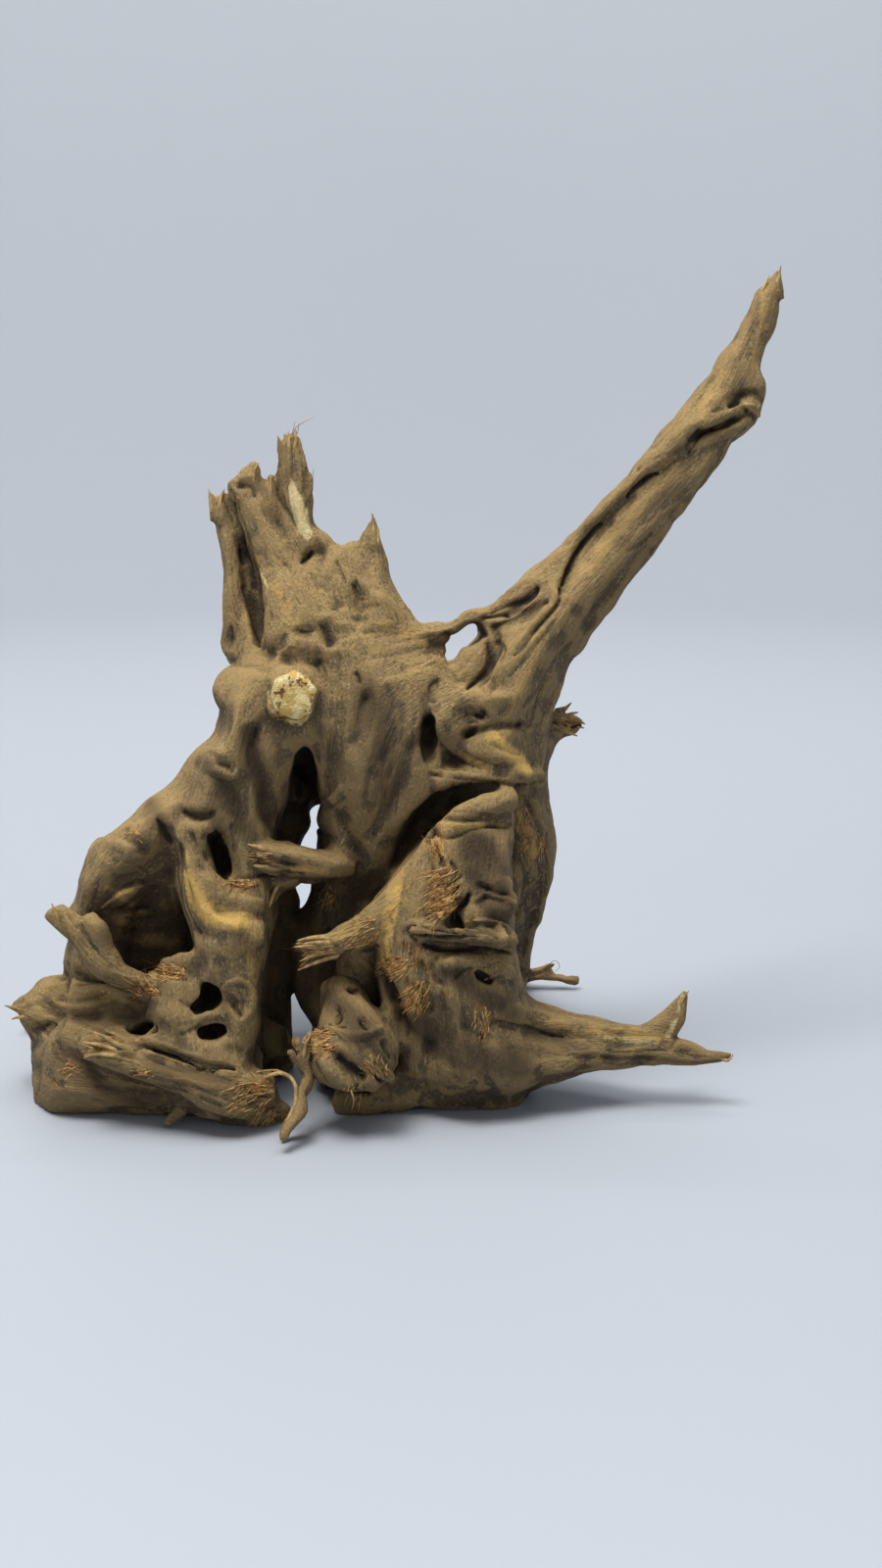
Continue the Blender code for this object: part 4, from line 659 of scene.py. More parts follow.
# Root block, from its ledge down.
BLOCK_CRACKS = (
    (-2, (446, 832, 1.8), (465, 837, 2), (489, 838, 2), (508, 839, 2), (521, 841, 1.8)),
    (-1.5, (458, 828, 1.8), (480, 829, 2), (505, 832, 1.8)),
    (-3.5, (445, 853, 2), (456, 855, 2.4), (468, 853, 2.4), (482, 847, 2.4), (500, 842, 2.2), (518, 844, 2)),
    (-8, (433, 851, 3.4), (438, 850, 5), (443, 852, 3.4)),
    (-3.5, (446, 862, 2), (449, 875, 2.6), (455, 888, 3), (457, 896, 2)),
    (-3.5, (461, 880, 2.4), (466, 888, 3), (466, 896, 2.4)),
    (-4, (449, 908, 2), (460, 902, 2.6), (471, 894, 2.2)),
    (-4, (446, 918, 2), (458, 914, 2.6), (470, 905, 2.2)),
    (-4, (447, 928, 2), (459, 925, 2.6), (471, 917, 2.2)),
    (-14, (480, 912, 2.4), (475, 921, 4), (468, 931, 5), (466, 941, 6), (471, 947, 4)),
    (-5, (424, 944, 1.8), (418, 945, 2.2), (416, 950, 2.4), (419, 956, 2.2), (425, 960, 1.8)),
    (-6, (422, 953, 1.8), (436, 957, 2.2), (450, 960, 2.2), (465, 960, 2.2), (478, 957, 2.2),
     (487, 955, 1.8)),
    (-3, (428, 944, 1.8), (440, 948, 2), (455, 950, 2), (466, 951, 1.8)),
    (-6, (432, 965, 2), (446, 968, 2.6), (465, 970, 3), (489, 968, 3), (508, 970, 2.6), (522, 973, 2)),
    (-2.5, (446, 976, 3), (441, 985, 4), (443, 996, 4), (450, 1004, 3)),
    (-10, (488, 993, 4), (494, 997, 5.6), (500, 1001, 4)),
    (-3, (466, 998, 2), (475, 989, 2.2), (489, 986, 2.2), (507, 982, 1.8)),
    (-3, (490, 902, 2.2), (500, 909, 2.6), (510, 913, 2.6), (518, 913, 2.2)),
    (-1.5, (506, 968, 2), (516, 974, 2.4), (521, 984, 2)),
    (-2, (478, 1115, 2), (484, 1112, 3)),
    (-1, (450, 1010, 2), (455, 1040, 2.5), (452, 1075, 2)),
    (-1, (470, 1060, 2), (476, 1085, 2.5), (486, 1105, 2)),
)
BLOCK_FOLDS = (
    (3, (440, 842, 3), (452, 840, 4), (470, 842, 4), (486, 840, 3.6), (505, 838, 3.6)),
    (4, (484, 884, 14), (494, 896, 13)),
    (-3, (489, 903, 5), (505, 911, 5), (516, 912, 4)),
    (5, (486, 918, 4), (496, 911, 4.4), (512, 916, 4.4), (524, 923, 4)),
    (6, (500, 926, 10), (514, 928, 10)),
    (-6, (436, 956, 12), (462, 957, 13), (490, 955, 12)),
    (4, (420, 950, 4), (436, 953, 4), (452, 955, 4), (468, 955, 4)),
    (9, (474, 946, 4), (489, 940, 5), (503, 942, 5), (512, 947, 5), (521, 960, 4)),
    (-8, (489, 957, 5), (497, 956, 6.5), (505, 957, 5)),
    (9, (456, 984, 9), (472, 980, 12), (496, 984, 14), (516, 992, 11)),
    (6, (500, 996, 2.4), (507, 991, 3), (513, 986, 2.4)),
    (-3, (446, 1032, 26), (452, 1070, 28)),
    (3, (498, 1046, 24), (506, 1086, 26)),
    (-2, (487, 1114, 3), (492, 1112, 4)),
)
# Plate behind the block, and its stub.
PLATE_CRACKS = (
    (-2, (525, 860, 2), (524, 875, 3)),
    (-1.5, (548, 880, 2), (552, 900, 2.5), (550, 930, 2.5), (546, 960, 2)),
    (-1.5, (540, 840, 2), (546, 846, 2.5), (550, 850, 2)),
    (-1.5, (558, 850, 2), (558, 890, 2.5), (554, 930, 2)),
    (-1.5, (535, 915, 2), (537, 945, 2.5), (534, 975, 2)),
    (-2, (534, 812, 2), (538, 822, 2.5), (546, 836, 2.5), (548, 845, 2)),
    (-2, (566, 722, 2), (575, 730, 2.5), (590, 736, 2)),
    (-2, (565, 738, 2), (578, 738, 2.5), (592, 741, 2)),
    (-1.5, (562, 745, 2), (575, 746, 2.5)),
)
PLATE_FOLDS = (
    (-2, (530, 880, 4), (535, 890, 5), (533, 905, 4)),
)
# Right root.
RIGHT_ROOT_CRACKS = (
    (-3, (508, 1042, 2), (518, 1044, 3), (530, 1047, 3), (545, 1050, 2.5), (560, 1055, 2.5),
     (575, 1058, 2)),
    (-2, (510, 1047, 2), (525, 1050, 2.5)),
    (-1.5, (560, 1030, 2), (575, 1036, 2.5), (590, 1042, 2)),
    (-1.5, (600, 1062, 2), (608, 1066, 2.5), (615, 1072, 2.5)),
    (-2.5, (620, 1072, 2), (640, 1074, 2.5), (660, 1072, 2.5), (680, 1072, 2)),
    (-2.5, (690, 1060, 2), (688, 1066, 3), (684, 1070, 2.5)),
    (-1.5, (694, 1072, 2), (706, 1077, 2.5), (722, 1078, 2)),
    (-1.2, (610, 1050, 2), (640, 1056, 2.5), (680, 1058, 2)),
    (-1.2, (640, 1063, 2), (665, 1066, 2.5), (690, 1072, 2)),
    (-1.2, (672, 1030, 2), (685, 1022, 2.5), (694, 1015, 2)),
    (-1, (560, 1075, 2), (600, 1078, 2.5), (640, 1080, 2)),
)
RIGHT_ROOT_FOLDS = (
    (-1.5, (520, 1070, 6), (560, 1075, 7), (600, 1080, 6)),
)

# Stains, with painted light and shade among them: a strength from 0 to 1, then pixels across, pixels down
# and half a width in pixels.
RUST = (
    (0.3, (286, 663, 5), (310, 661, 6), (335, 667, 6)),
    (0.3, (120, 842, 7), (132, 852, 11), (148, 862, 9)),
    (1.0, (238, 902, 6), (250, 903, 7), (262, 904, 5)),
    (0.9, (326, 908, 5), (338, 912, 6), (341, 925, 5)),
    (1.0, (436, 858, 6), (447, 870, 8), (452, 882, 8)),
    (0.9, (442, 888, 8), (455, 902, 11), (465, 920, 10), (456, 932, 8)),
    (0.8, (410, 962, 8), (425, 976, 13), (438, 990, 9)),
    (0.9, (418, 1002, 8), (428, 1016, 11), (438, 1030, 7)),
    (1.0, (152, 985, 7), (170, 992, 9), (188, 998, 7)),
    (0.9, (140, 1005, 7), (152, 1012, 8), (163, 1016, 6)),
    (0.9, (325, 1050, 7), (332, 1062, 9), (342, 1076, 8)),
    (0.8, (136, 1094, 6), (148, 1098, 5)),
    (0.7, (70, 1082, 7), (80, 1094, 7)),
    (0.6, (56, 1104, 6), (62, 1106, 6)),
    (0.6, (235, 1105, 10), (262, 1118, 14), (288, 1140, 10)),
    (0.7, (300, 1058, 8), (316, 1062, 8)),
    (0.5, (486, 1020, 7), (497, 1040, 9), (492, 1056, 7)),
    (0.4, (385, 985, 10), (400, 960, 8), (410, 930, 7)),
    (0.5, (490, 700, 4), (500, 712, 4)),
    (0.5, (535, 855, 9), (552, 868, 9)),
    (0.35, (480, 965, 5), (500, 985, 6), (512, 1000, 6)),
)
# Ochre patches: partly the wood's own colour, partly a painted highlight along the lit ledge of the left
# leg.
OCHRE = (
    (0.5, (112, 936, 16), (146, 952, 18), (184, 966, 14)),
    (0.9, (500, 752, 10), (520, 768, 14), (538, 786, 12)),
    (0.6, (470, 770, 8), (500, 786, 9)),
    (0.9, (194, 898, 12), (208, 924, 18), (228, 938, 20), (254, 938, 16)),
    (0.6, (262, 950, 10), (256, 980, 10), (258, 1020, 9)),
    (0.7, (190, 870, 6), (196, 890, 8), (204, 905, 8)),
    (1.2, (406, 890, 9), (400, 920, 12), (395, 950, 12), (388, 980, 11)),
    (0.8, (306, 966, 5), (330, 960, 7), (360, 950, 8)),
    (0.7, (300, 885, 8), (320, 888, 8), (334, 890, 6)),
    (0.7, (600, 1050, 10), (640, 1056, 12), (680, 1058, 9)),
    (0.5, (555, 1040, 8), (590, 1050, 9)),
    (0.8, (376, 1085, 9), (390, 1095, 10)),
    (0.6, (110, 905, 7), (122, 915, 8), (140, 930, 8)),
    (0.7, (530, 830, 8), (540, 850, 9), (545, 872, 10)),
    (0.6, (434, 838, 8), (470, 846, 8), (510, 842, 8)),
    (0.6, (430, 850, 6), (440, 868, 8)),
    (0.5, (60, 930, 8), (72, 950, 8), (90, 975, 9)),
    (0.5, (780, 290, 8), (778, 330, 9), (770, 370, 10)),
    (0.5, (690, 470, 14), (650, 520, 16), (600, 580, 16)),
    (0.5, (740, 380, 16), (715, 420, 14)),
    (0.6, (762, 414, 5), (774, 424, 5)),
    (0.4, (560, 620, 14), (540, 680, 16), (520, 730, 14)),
    (0.4, (255, 560, 9), (285, 600, 14), (300, 640, 14)),
    (0.4, (390, 640, 14), (430, 655, 14), (420, 700, 16)),
    (0.4, (225, 690, 12), (215, 730, 12), (190, 780, 12)),
    (0.5, (130, 1080, 12), (180, 1098, 12), (230, 1108, 10)),
    (0.4, (440, 1000, 10), (470, 1020, 12)),
)
PALE = (
    (0.6, (350, 694, 3), (358, 702, 4)),
    (1.3, (297, 494, 6), (301, 506, 9), (305, 520, 12), (309, 534, 12), (314, 546, 8)),
    (0.8, (680, 1058, 5), (688, 1045, 6), (693, 1028, 5), (697, 1014, 4)),
    (0.6, (610, 1056, 6), (640, 1062, 7), (670, 1064, 6)),
    (0.7, (262, 870, 4), (270, 876, 4)),
    (0.7, (264, 584, 3), (270, 592, 3.5), (273, 600, 3)),
    (0.45, (372, 1080, 5), (384, 1088, 7), (394, 1098, 5)),
    (0.5, (348, 697, 4), (358, 699, 4)),
    (0.5, (540, 684, 3), (552, 684, 3), (544, 704, 4)),
    (0.5, (222, 947, 4), (242, 944, 4)),
    (0.5, (636, 468, 3), (656, 452, 3), (668, 444, 3)),
    (0.5, (668, 484, 2.5), (680, 480, 2.5)),
    (0.5, (757, 411, 3), (770, 414, 3), (776, 424, 3)),
    (0.5, (566, 740, 4), (590, 740, 4)),
    (0.5, (300, 964, 4), (318, 962, 4)),
    (0.4, (530, 835, 5), (535, 850, 6)),
    (0.4, (222, 768, 4), (212, 766, 4)),
)
MOSS = (
    (1.0, (270, 1050, 12), (280, 1065, 15), (284, 1080, 10)),
    (0.6, (302, 732, 7), (312, 728, 7)),
    (0.5, (490, 1025, 7), (500, 1045, 8)),
    (0.5, (455, 985, 6), (442, 990, 6)),
    (0.4, (250, 1000, 9), (262, 1020, 9)),
)
# Dark patches: partly the wood's own stains, partly painted shade where it lies in shadow, as under the
# brow, under the horn's lip and beside the slot.
DARK = (
    (1.2, (486, 866, 34), (500, 898, 34), (508, 930, 30)),
    (0.4, (190, 800, 24), (225, 812, 24)),
    (0.4, (630, 548, 26), (662, 518, 26), (694, 488, 22)),
    (0.3, (385, 655, 16), (412, 662, 18), (436, 668, 14)),
    (0.62, (374, 706, 40), (392, 750, 42), (392, 800, 40)),
    (0.7, (150, 1085, 16), (190, 1096, 18), (232, 1106, 16)),
    (0.9, (325, 674, 4), (331, 682, 5), (332, 690, 4)),
    (0.5, (360, 722, 8), (372, 735, 9), (362, 758, 7)),
    (0.6, (615, 1078, 5), (660, 1080, 5), (720, 1084, 5), (742, 1082, 4)),
    (0.25, (340, 860, 14), (375, 890, 16), (400, 900, 12)),
    (0.5, (478, 868, 20), (488, 890, 28), (502, 922, 26)),
    (1.0, (445, 930, 16), (470, 952, 18), (500, 958, 18)),
    (0.7, (455, 992, 16), (490, 1012, 18), (522, 1032, 16)),
    (1.0, (430, 1045, 22), (470, 1075, 28), (530, 1085, 24)),
    (0.9, (340, 1020, 18), (368, 1050, 30), (392, 1088, 24)),
    (0.6, (130, 802, 14), (158, 832, 18), (120, 905, 18), (108, 955, 18)),
    (0.15, (110, 944, 20), (150, 968, 24), (188, 976, 16)),
    (0.6, (140, 1095, 12), (190, 1102, 14), (245, 1110, 12)),
    (0.6, (80, 1036, 16), (120, 1036, 16), (165, 1042, 14), (190, 1066, 10)),
    (0.7, (62, 1080, 22), (110, 1112, 20), (160, 1122, 16)),
    (0.45, (330, 740, 14), (345, 780, 20), (400, 800, 20)),
    (0.5, (545, 1055, 18), (600, 1072, 12)),
    (0.5, (212, 830, 14), (236, 860, 12), (246, 900, 10)),
    (0.8, (250, 745, 14), (262, 785, 18), (272, 830, 16)),
    (0.7, (206, 778, 14), (230, 806, 18), (250, 846, 16)),
    (0.6, (500, 925, 9), (510, 930, 9)),
    (0.4, (345, 1110, 9), (420, 1110, 9), (480, 1100, 8)),
    (0.5, (430, 1050, 16), (450, 1080, 16)),
    (0.5, (312, 475, 4), (315, 500, 5), (316, 520, 4)),
    (0.4, (250, 560, 6), (255, 600, 7), (262, 650, 7)),
    (0.4, (60, 1060, 10), (75, 1100, 12), (110, 1118, 12)),
    (0.6, (235, 1110, 12), (265, 1130, 12)),
)
SAWN = (
    (1.0, (290, 702, 19), (297, 714, 27), (303, 726, 21)),
    (1.0, (280, 710, 13), (284, 725, 14)),
    (1.0, (302, 692, 13), (314, 703, 13)),
)
# Gold patches: partly the wood's own yellow, partly a painted highlight along lit ledges and ridges.
GOLD = (
    (1.0, (190, 890, 7), (198, 912, 12), (212, 932, 17), (236, 940, 16), (250, 940, 10)),
    (0.7, (505, 750, 9), (525, 770, 11), (540, 788, 9)),
    (0.66, (406, 905, 8), (399, 935, 10), (392, 972, 9)),
    (0.5, (378, 1078, 7), (388, 1090, 9), (398, 1100, 7)),
    (0.5, (442, 838, 5), (470, 842, 6), (505, 839, 5)),
    (0.5, (312, 545, 6), (318, 555, 5)),
    (0.6, (120, 912, 6), (136, 908, 5)),
    (0.5, (132, 931, 4), (148, 930, 4)),
    (0.6, (528, 845, 7), (538, 862, 9)),
    (0.5, (310, 886, 6), (328, 888, 5)),
)
STAINS_AND_PAINTED_LIGHT = {
    "gold": GOLD,
    "rust": RUST,
    "ochre": OCHRE,
    "pale": PALE,
    "moss": MOSS,
    "dark": DARK,
    "sawn": SAWN,
}


# Cracks and folds seen square from behind and from the two sides, in millimetres.
BACK_CRACKS = (
    (-5, (62, 225, 3), (78, 185, 4), (100, 140, 4), (122, 95, 3), (142, 50, 2)),
    (-3, (46, 205, 2), (62, 170, 3), (84, 125, 3), (104, 85, 2)),
    (-5, (10, 215, 3), (-8, 175, 4), (-20, 130, 4), (-24, 85, 3), (-14, 40, 2)),
    (-2, (14, 180, 2), (0, 150, 3), (-12, 110, 3), (-14, 70, 2)),
    (-7, (36, 192, 2.5), (38, 165, 4), (40, 145, 2.5)),
    (-3, (18, 232, 2), (20, 205, 3), (16, 180, 2)),
    (-4, (75, 300, 2), (70, 270, 3.5), (62, 240, 3)),
    (-4, (54, 312, 2), (52, 282, 3.5), (48, 252, 3)),
    (-2, (84, 285, 2), (80, 262, 2.5), (76, 240, 2)),
    (-3, (26, 272, 2), (20, 252, 3), (14, 236, 2)),
    (-5, (-70, 240, 2.5), (-95, 275, 3.5), (-120, 310, 3.5), (-150, 345, 3), (-170, 375, 2)),
    (-2, (-60, 215, 2), (-82, 245, 2.5), (-104, 278, 2)),
    (-2.5, (-130, 300, 2), (-155, 332, 2.5), (-176, 362, 2)),
    (-5, (-78, 170, 2), (-74, 135, 3.5), (-74, 95, 3.5), (-75, 60, 2)),
    (-2.5, (-66, 150, 2), (-64, 120, 2.5), (-66, 85, 2)),
    (-3, (150, 60, 2), (158, 40, 3), (164, 18, 2)),
    (-3, (-60, 215, 2), (-45, 200, 3), (-30, 192, 2)),
)
BACK_FOLDS = (
    (3, (74, 215, 5), (90, 180, 6), (112, 135, 6), (134, 88, 5), (152, 45, 4)),
    (-2.5, (50, 200, 4), (68, 165, 6), (90, 120, 6), (112, 75, 5)),
    (3, (-2, 205, 5), (-18, 165, 6), (-30, 125, 6), (-32, 85, 5)),
    (2.5, (26, 225, 6), (28, 190, 7), (30, 160, 6)),
    (2.5, (48, 225, 6), (48, 190, 7), (46, 160, 5)),
    (3, (65, 302, 4), (61, 274, 6), (56, 246, 6)),
    (3, (-80, 232, 5), (-108, 270, 6), (-135, 306, 6), (-160, 338, 5)),
    (2.5, (-84, 160, 4), (-82, 125, 5), (-82, 90, 5)),
    (2.5, (-66, 165, 4), (-66, 130, 5), (-68, 95, 5)),
    (-3, (100, 190, 7), (95, 165, 8), (88, 140, 7)),
)
LEFT_CRACKS = (
    (-4, (20, 225, 2), (0, 190, 3), (-22, 150, 3.5), (-40, 110, 3), (-48, 70, 2)),
    (-3, (40, 190, 2), (46, 160, 3), (52, 120, 3), (50, 80, 2)),
    (-3, (18, 300, 2), (20, 275, 3), (26, 248, 2.5), (32, 225, 2)),
    (-3, (62, 70, 2), (72, 48, 3), (76, 24, 2)),
    (-2.5, (30, 120, 2), (34, 90, 2.5), (36, 60, 2)),
    (-4, (-60, 90, 2), (-56, 55, 3), (-58, 20, 2)),
)
RIGHT_CRACKS = (
    (-4, (-20, 190, 2), (0, 150, 3), (20, 110, 3.5), (50, 68, 3), (90, 30, 2)),
    (-3, (-10, 170, 2), (12, 128, 3), (38, 84, 3), (72, 44, 2)),
    (-3, (-60, 140, 2), (-66, 110, 3), (-70, 75, 3), (-66, 45, 2)),
    (-3, (-34, 215, 2), (-30, 250, 2.5), (-20, 285, 2)),
)
STROKE_STEPS = 6
FAR_OFF = 9.0
TINY = 1e-9
# Millimetres to one of a stroke's height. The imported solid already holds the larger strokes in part.
CRACK_SHARE = 0.46
FOLD_SHARE = 0.4
CRACK_STEEPNESS = 0.8
FACING_SLOPE = 2.5


def stroke_share(across, down, rows):
    """How far each point lies from a stroke's middle line, as a share of its half width."""
    share = np.full(len(across), FAR_OFF)
    for a, b in zip(rows, rows[1:]):
        run = b[:2] - a[:2]
        dx = across - a[0]
        dy = down - a[1]
        t = np.clip((dx * run[0] + dy * run[1]) / (run @ run + TINY), 0, 1)
        off = np.hypot(dx - t * run[0], dy - t * run[1])
        share = np.minimum(share, off / (a[2] + t * (b[2] - a[2])))
    return share


def sharp(share):
    """A crack's section, with steep walls and a narrow floor."""
    return np.clip(1 - share, 0, 1) ** CRACK_STEEPNESS


def in_view(co, normals, toward, touched, tree):
    """Of the touched points, a 1 for each that nothing hides from the board."""
    seen = np.zeros(len(co))
    for i in np.nonzero(touched)[0]:
        start = Vector(co[i] + (normals[i] + toward[i]) * MM)
        if tree.ray_cast(start, Vector(toward[i]))[0] is None:
            seen[i] = 1
    return seen


def stroke_weight(place, strokes, section, combine):
    """The strokes' sections at each place on a board, each stroke times its own height."""
    across, down, toward = place
    total = np.zeros(len(across))
    for height, *stations in strokes:
        rows = np.array(smooth_rows(stations, STROKE_STEPS))
        reach = rows[:, 2].max()
        low = rows[:, :2].min(0) - reach
        high = rows[:, :2].max(0) + reach
        near = np.nonzero((across > low[0]) & (across < high[0]) & (down > low[1]) & (down < high[1]))[0]
        section_here = height * section(stroke_share(across[near], down[near], rows))
        total[near] = combine(total[near], section_here)
    return total


def facing_share(place, normals):
    """How squarely each point faces its board, at its full well before it is square to it."""
    return np.clip(FACING_SLOPE * (place[2] * normals).sum(1), 0, 1)


def back_board(co):
    """Millimetres to the right and up, seen square from behind."""
    return -co[:, 0] / MM, co[:, 2] / MM, np.tile((0.0, 1.0, 0.0), (len(co), 1))


def left_board(co):
    """Millimetres to the right and up, seen square from the left foot's side."""
    return -co[:, 1] / MM, co[:, 2] / MM, np.tile((-1.0, 0.0, 0.0), (len(co), 1))


def right_board(co):
    """Millimetres to the right and up, seen square from the right root's side."""
    return co[:, 1] / MM, co[:, 2] / MM, np.tile((1.0, 0.0, 0.0), (len(co), 1))


def carve(obj, board, cracks, folds, tree):
    """The strokes worked into the side of the wood that faces the board."""
    co, normals = points_of(obj.data)
    place = board(co)
    rise = FOLD_SHARE * stroke_weight(place, folds, round_over, np.add)
    rise += CRACK_SHARE * stroke_weight(place, cracks, sharp, np.minimum)
    rise *= facing_share(place, normals)
    rise *= in_view(co, normals, place[2], rise, tree)
    put_points(obj.data, co + normals * (rise * MM)[:, None])


NEAR_CRACKS = (
    HORN_CRACKS + HORN_FOOT_CRACKS + BROW_CRACKS + CROWN_CRACKS + TRUNK_CRACKS + THIGH_CRACKS + LEDGE_CRACKS
    + LEFT_FOOT_CRACKS + KNOB_CRACKS + RIDGE_CRACKS + BLOCK_CRACKS + PLATE_CRACKS + RIGHT_ROOT_CRACKS
)
NEAR_FOLDS = (
    HORN_FOLDS + HORN_FOOT_FOLDS + BROW_FOLDS + CROWN_FOLDS + TRUNK_FOLDS + THIGH_FOLDS + LEDGE_FOLDS
    + LEFT_FOOT_FOLDS + KNOB_FOLDS + RIDGE_FOLDS + BLOCK_FOLDS + PLATE_FOLDS + RIGHT_ROOT_FOLDS
)
carve(driftwood, photo_board, NEAR_CRACKS, NEAR_FOLDS, form_tree)
carve(driftwood, back_board, BACK_CRACKS, BACK_FOLDS, form_tree)
carve(driftwood, left_board, LEFT_CRACKS, (), form_tree)
carve(driftwood, right_board, RIGHT_CRACKS, (), form_tree)

# The grain runs along these lines through the limbs, in millimetres, with each limb's rough half width.
GRAIN = (
    # Horn, down through the brow into the block.
    (17, (205, 30, 425), (190, 15, 385), (170, 5, 345), (140, -5, 310), (105, -20, 270), (75, -30, 235)),
    (26, (75, -30, 235), (60, -35, 215), (52, -38, 185), (46, -48, 150), (40, -62, 130)),
    # Strand that bridges the eye in the horn's foot.
    (10, (95, -25, 275), (75, -30, 262), (50, -35, 250), (20, -35, 238), (-10, -35, 232)),
    # Crown.
    (9, (-85, -15, 305), (-82, -25, 280), (-78, -30, 250), (-72, -32, 222), (-68, -40, 195)),
    (13, (-70, -20, 320), (-65, -25, 295), (-58, -30, 272), (-50, -32, 250)),
    (10, (-50, -10, 340), (-50, -15, 318), (-42, -24, 285), (-38, -30, 262)),
    (12, (-5, -20, 300), (-10, -25, 280), (-8, -30, 262), (-10, -35, 240)),
    # Trunk.
    (36, (-50, -30, 258), (-42, -34, 235), (-38, -36, 210), (-36, -36, 180)),
    (32, (25, -35, 205), (8, -38, 195), (0, -42, 175), (-5, -45, 145), (-15, -45, 120), (-25, -38, 90)),
    (12, (-50, -30, 215), (-46, -60, 215), (-45, -95, 215)),
    # Left leg and its foot.
    (32, (-60, -38, 205), (-72, -50, 175), (-82, -65, 140), (-82, -74, 100), (-78, -85, 65)),
    (24, (-78, -50, 172), (-110, -60, 138), (-140, -56, 112), (-152, -50, 80), (-152, -52, 50)),
    (12, (-78, -92, 60), (-72, -98, 40), (-70, -98, 15)),
    (28, (-200, -52, 42), (-170, -58, 28), (-135, -60, 24), (-95, -64, 20), (-65, -70, 15)),
    (9, (-165, -95, 112), (-152, -95, 92), (-135, -97, 77), (-110, -92, 68), (-92, -90, 58)),
    (11, (-150, -100, 40), (-125, -110, 36), (-100, -113, 30), (-75, -113, 22), (-55, -106, 20)),
    # Block, its ridge, its ledge and the knob.
    (33, (42, -58, 145), (36, -68, 110), (32, -75, 80), (36, -74, 50), (40, -66, 10)),
    (11, (22, -78, 132), (8, -86, 112), (-12, -92, 99), (-40, -100, 86)),
    (11, (22, -80, 148), (38, -76, 151), (60, -66, 158)),
    (18, (-24, -80, 68), (-18, -98, 50), (-10, -110, 38), (-4, -118, 24)),
    (8, (-18, -66, 124), (-40, -78, 128), (-66, -86, 135)),
    # Right root.
    (20, (30, -75, 32), (65, -76, 30), (100, -76, 30), (135, -76, 31), (175, -80, 26)),
    (6, (130, -76, 36), (144, -76, 45), (150, -76, 60)),
    # Plate behind the block and the long rear leg under it.
    (18, (80, -15, 185), (76, 0, 145), (75, 28, 92), (75, 70, 45), (75, 125, 0)),
    (10, (70, -14, 181), (88, -10, 185), (104, -6, 185)),
    # Rear legs and the root that crosses them.
    (24, (-55, -12, 240), (-72, 12, 195), (-95, 35, 145), (-128, 46, 85), (-160, 58, 10)),
    (26, (-22, -12, 232), (0, 15, 180), (16, 38, 120), (18, 55, 60), (6, 68, 0)),
    (12, (-52, 4, 150), (-60, -6, 105), (-62, -15, 60), (-65, -24, 0)),
    (14, (-26, -12, 126), (-34, -22, 80), (-34, -34, 45), (-22, -58, 5)),
    (10, (-205, 35, 12), (-155, 40, 48), (-105, 43, 62), (-50, 42, 52), (20, 45, 68)),
)
GRAIN_STEPS = 8
# How far apart two lines' runs are numbered, so that no two limbs share their grain.
RUN_APART = 1000.0
SHARE_WIDTH = 0.45
CHUNK = 40_000


class Grain:
    """Lines of grain, each a run of small frames that turn as little as they can."""

    def __init__(self, lines):
        self.middle, self.along, self.side, self.back = [], [], [], []
        self.run, self.half, self.starts = [], [], []
        for number, (half, *stations) in enumerate(lines):
            rows = [Vector(row) for row in smooth_rows(stations, GRAIN_STEPS)]
            side = None
            run = RUN_APART * number
            self.starts.append(len(self.middle))
            for i, point in enumerate(rows):
                ahead = (rows[min(i + 1, len(rows) - 1)] - rows[max(i - 1, 0)]).normalized()
                side = ahead.orthogonal() if side is None else side - ahead * side.dot(ahead)
                side.normalize()
                run += (point - rows[i - 1]).length if i else 0.0
                self.middle.append(point)
                self.along.append(ahead)
                self.side.append(side.copy())
                self.back.append(ahead.cross(side))
                self.run.append(run)
                self.half.append(half)
        for name in ("middle", "along", "side", "back", "run", "half"):
            setattr(self, name, np.array(getattr(self, name), dtype=float))
        self.ends = self.starts[1:] + [len(self.middle)]

    def nearest(self, co):
        """For each point and line: how many half widths off it is, and the frame that it is beside."""
        score = np.empty((len(co), len(self.starts)))
        frame_at = np.empty((len(co), len(self.starts)), dtype=int)
        for low in range(0, len(co), CHUNK):
            part = co[low:low + CHUNK] / MM
            gap = (part ** 2).sum(1)[:, None] + (self.middle ** 2).sum(1)[None, :] - 2 * part @ self.middle.T
            for line, (start, end) in enumerate(zip(self.starts, self.ends)):
                best = gap[:, start:end].argmin(1)
                frame_at[low:low + CHUNK, line] = best + start
                off = np.sqrt(np.maximum(gap[np.arange(len(part)), best + start], 0))
                score[low:low + CHUNK, line] = off / self.half[start]
        return score, frame_at

    def place(self, co, frame_at):
        """Millimetres to the side, to the back and along the grain."""
        off = co / MM - self.middle[frame_at]
        side = (off * self.side[frame_at]).sum(1)
        back = (off * self.back[frame_at]).sum(1)
        along = (off * self.along[frame_at]).sum(1) + self.run[frame_at]
        return np.stack((side, back, along), 1)


def share_between(first, second):
    """How much of the second line's grain shows, a half where both are as near."""
    t = np.clip(0.5 + 0.5 * (first - second) / SHARE_WIDTH, 0, 1)
    return t * t * (3 - 2 * t)


grain = Grain(GRAIN)
# Large odd numbers that stir a cell's place into one that looks drawn by chance.
STIR_PLACE = (374761393, 668265263, 2147483647)
STIR = 1274126177
STIRRED_HALF = 32767.5


def value_noise(places, seed):
    """Smooth noise from -1 to 1 at places in cells, by a hash of the cell's corners."""
    cell = np.floor(places).astype(np.int64)
    f = places - cell
    f = f * f * (3 - 2 * f)
    total = np.zeros(len(places))
    for dx in (0, 1):
        for dy in (0, 1):
            for dz in (0, 1):
                x = cell + np.array((dx, dy, dz))
                h = (x * np.array(STIR_PLACE)).sum(1) + seed * STIR
                h = (h ^ (h >> 13)) * STIR & 0xFFFFFFFF
                h = (h ^ (h >> 16)) & 0xFFFF
                weight = np.abs(1 - dx - f[:, 0]) * np.abs(1 - dy - f[:, 1]) * np.abs(1 - dz - f[:, 2])
                total += weight * (h / STIRRED_HALF - 1)
    return total


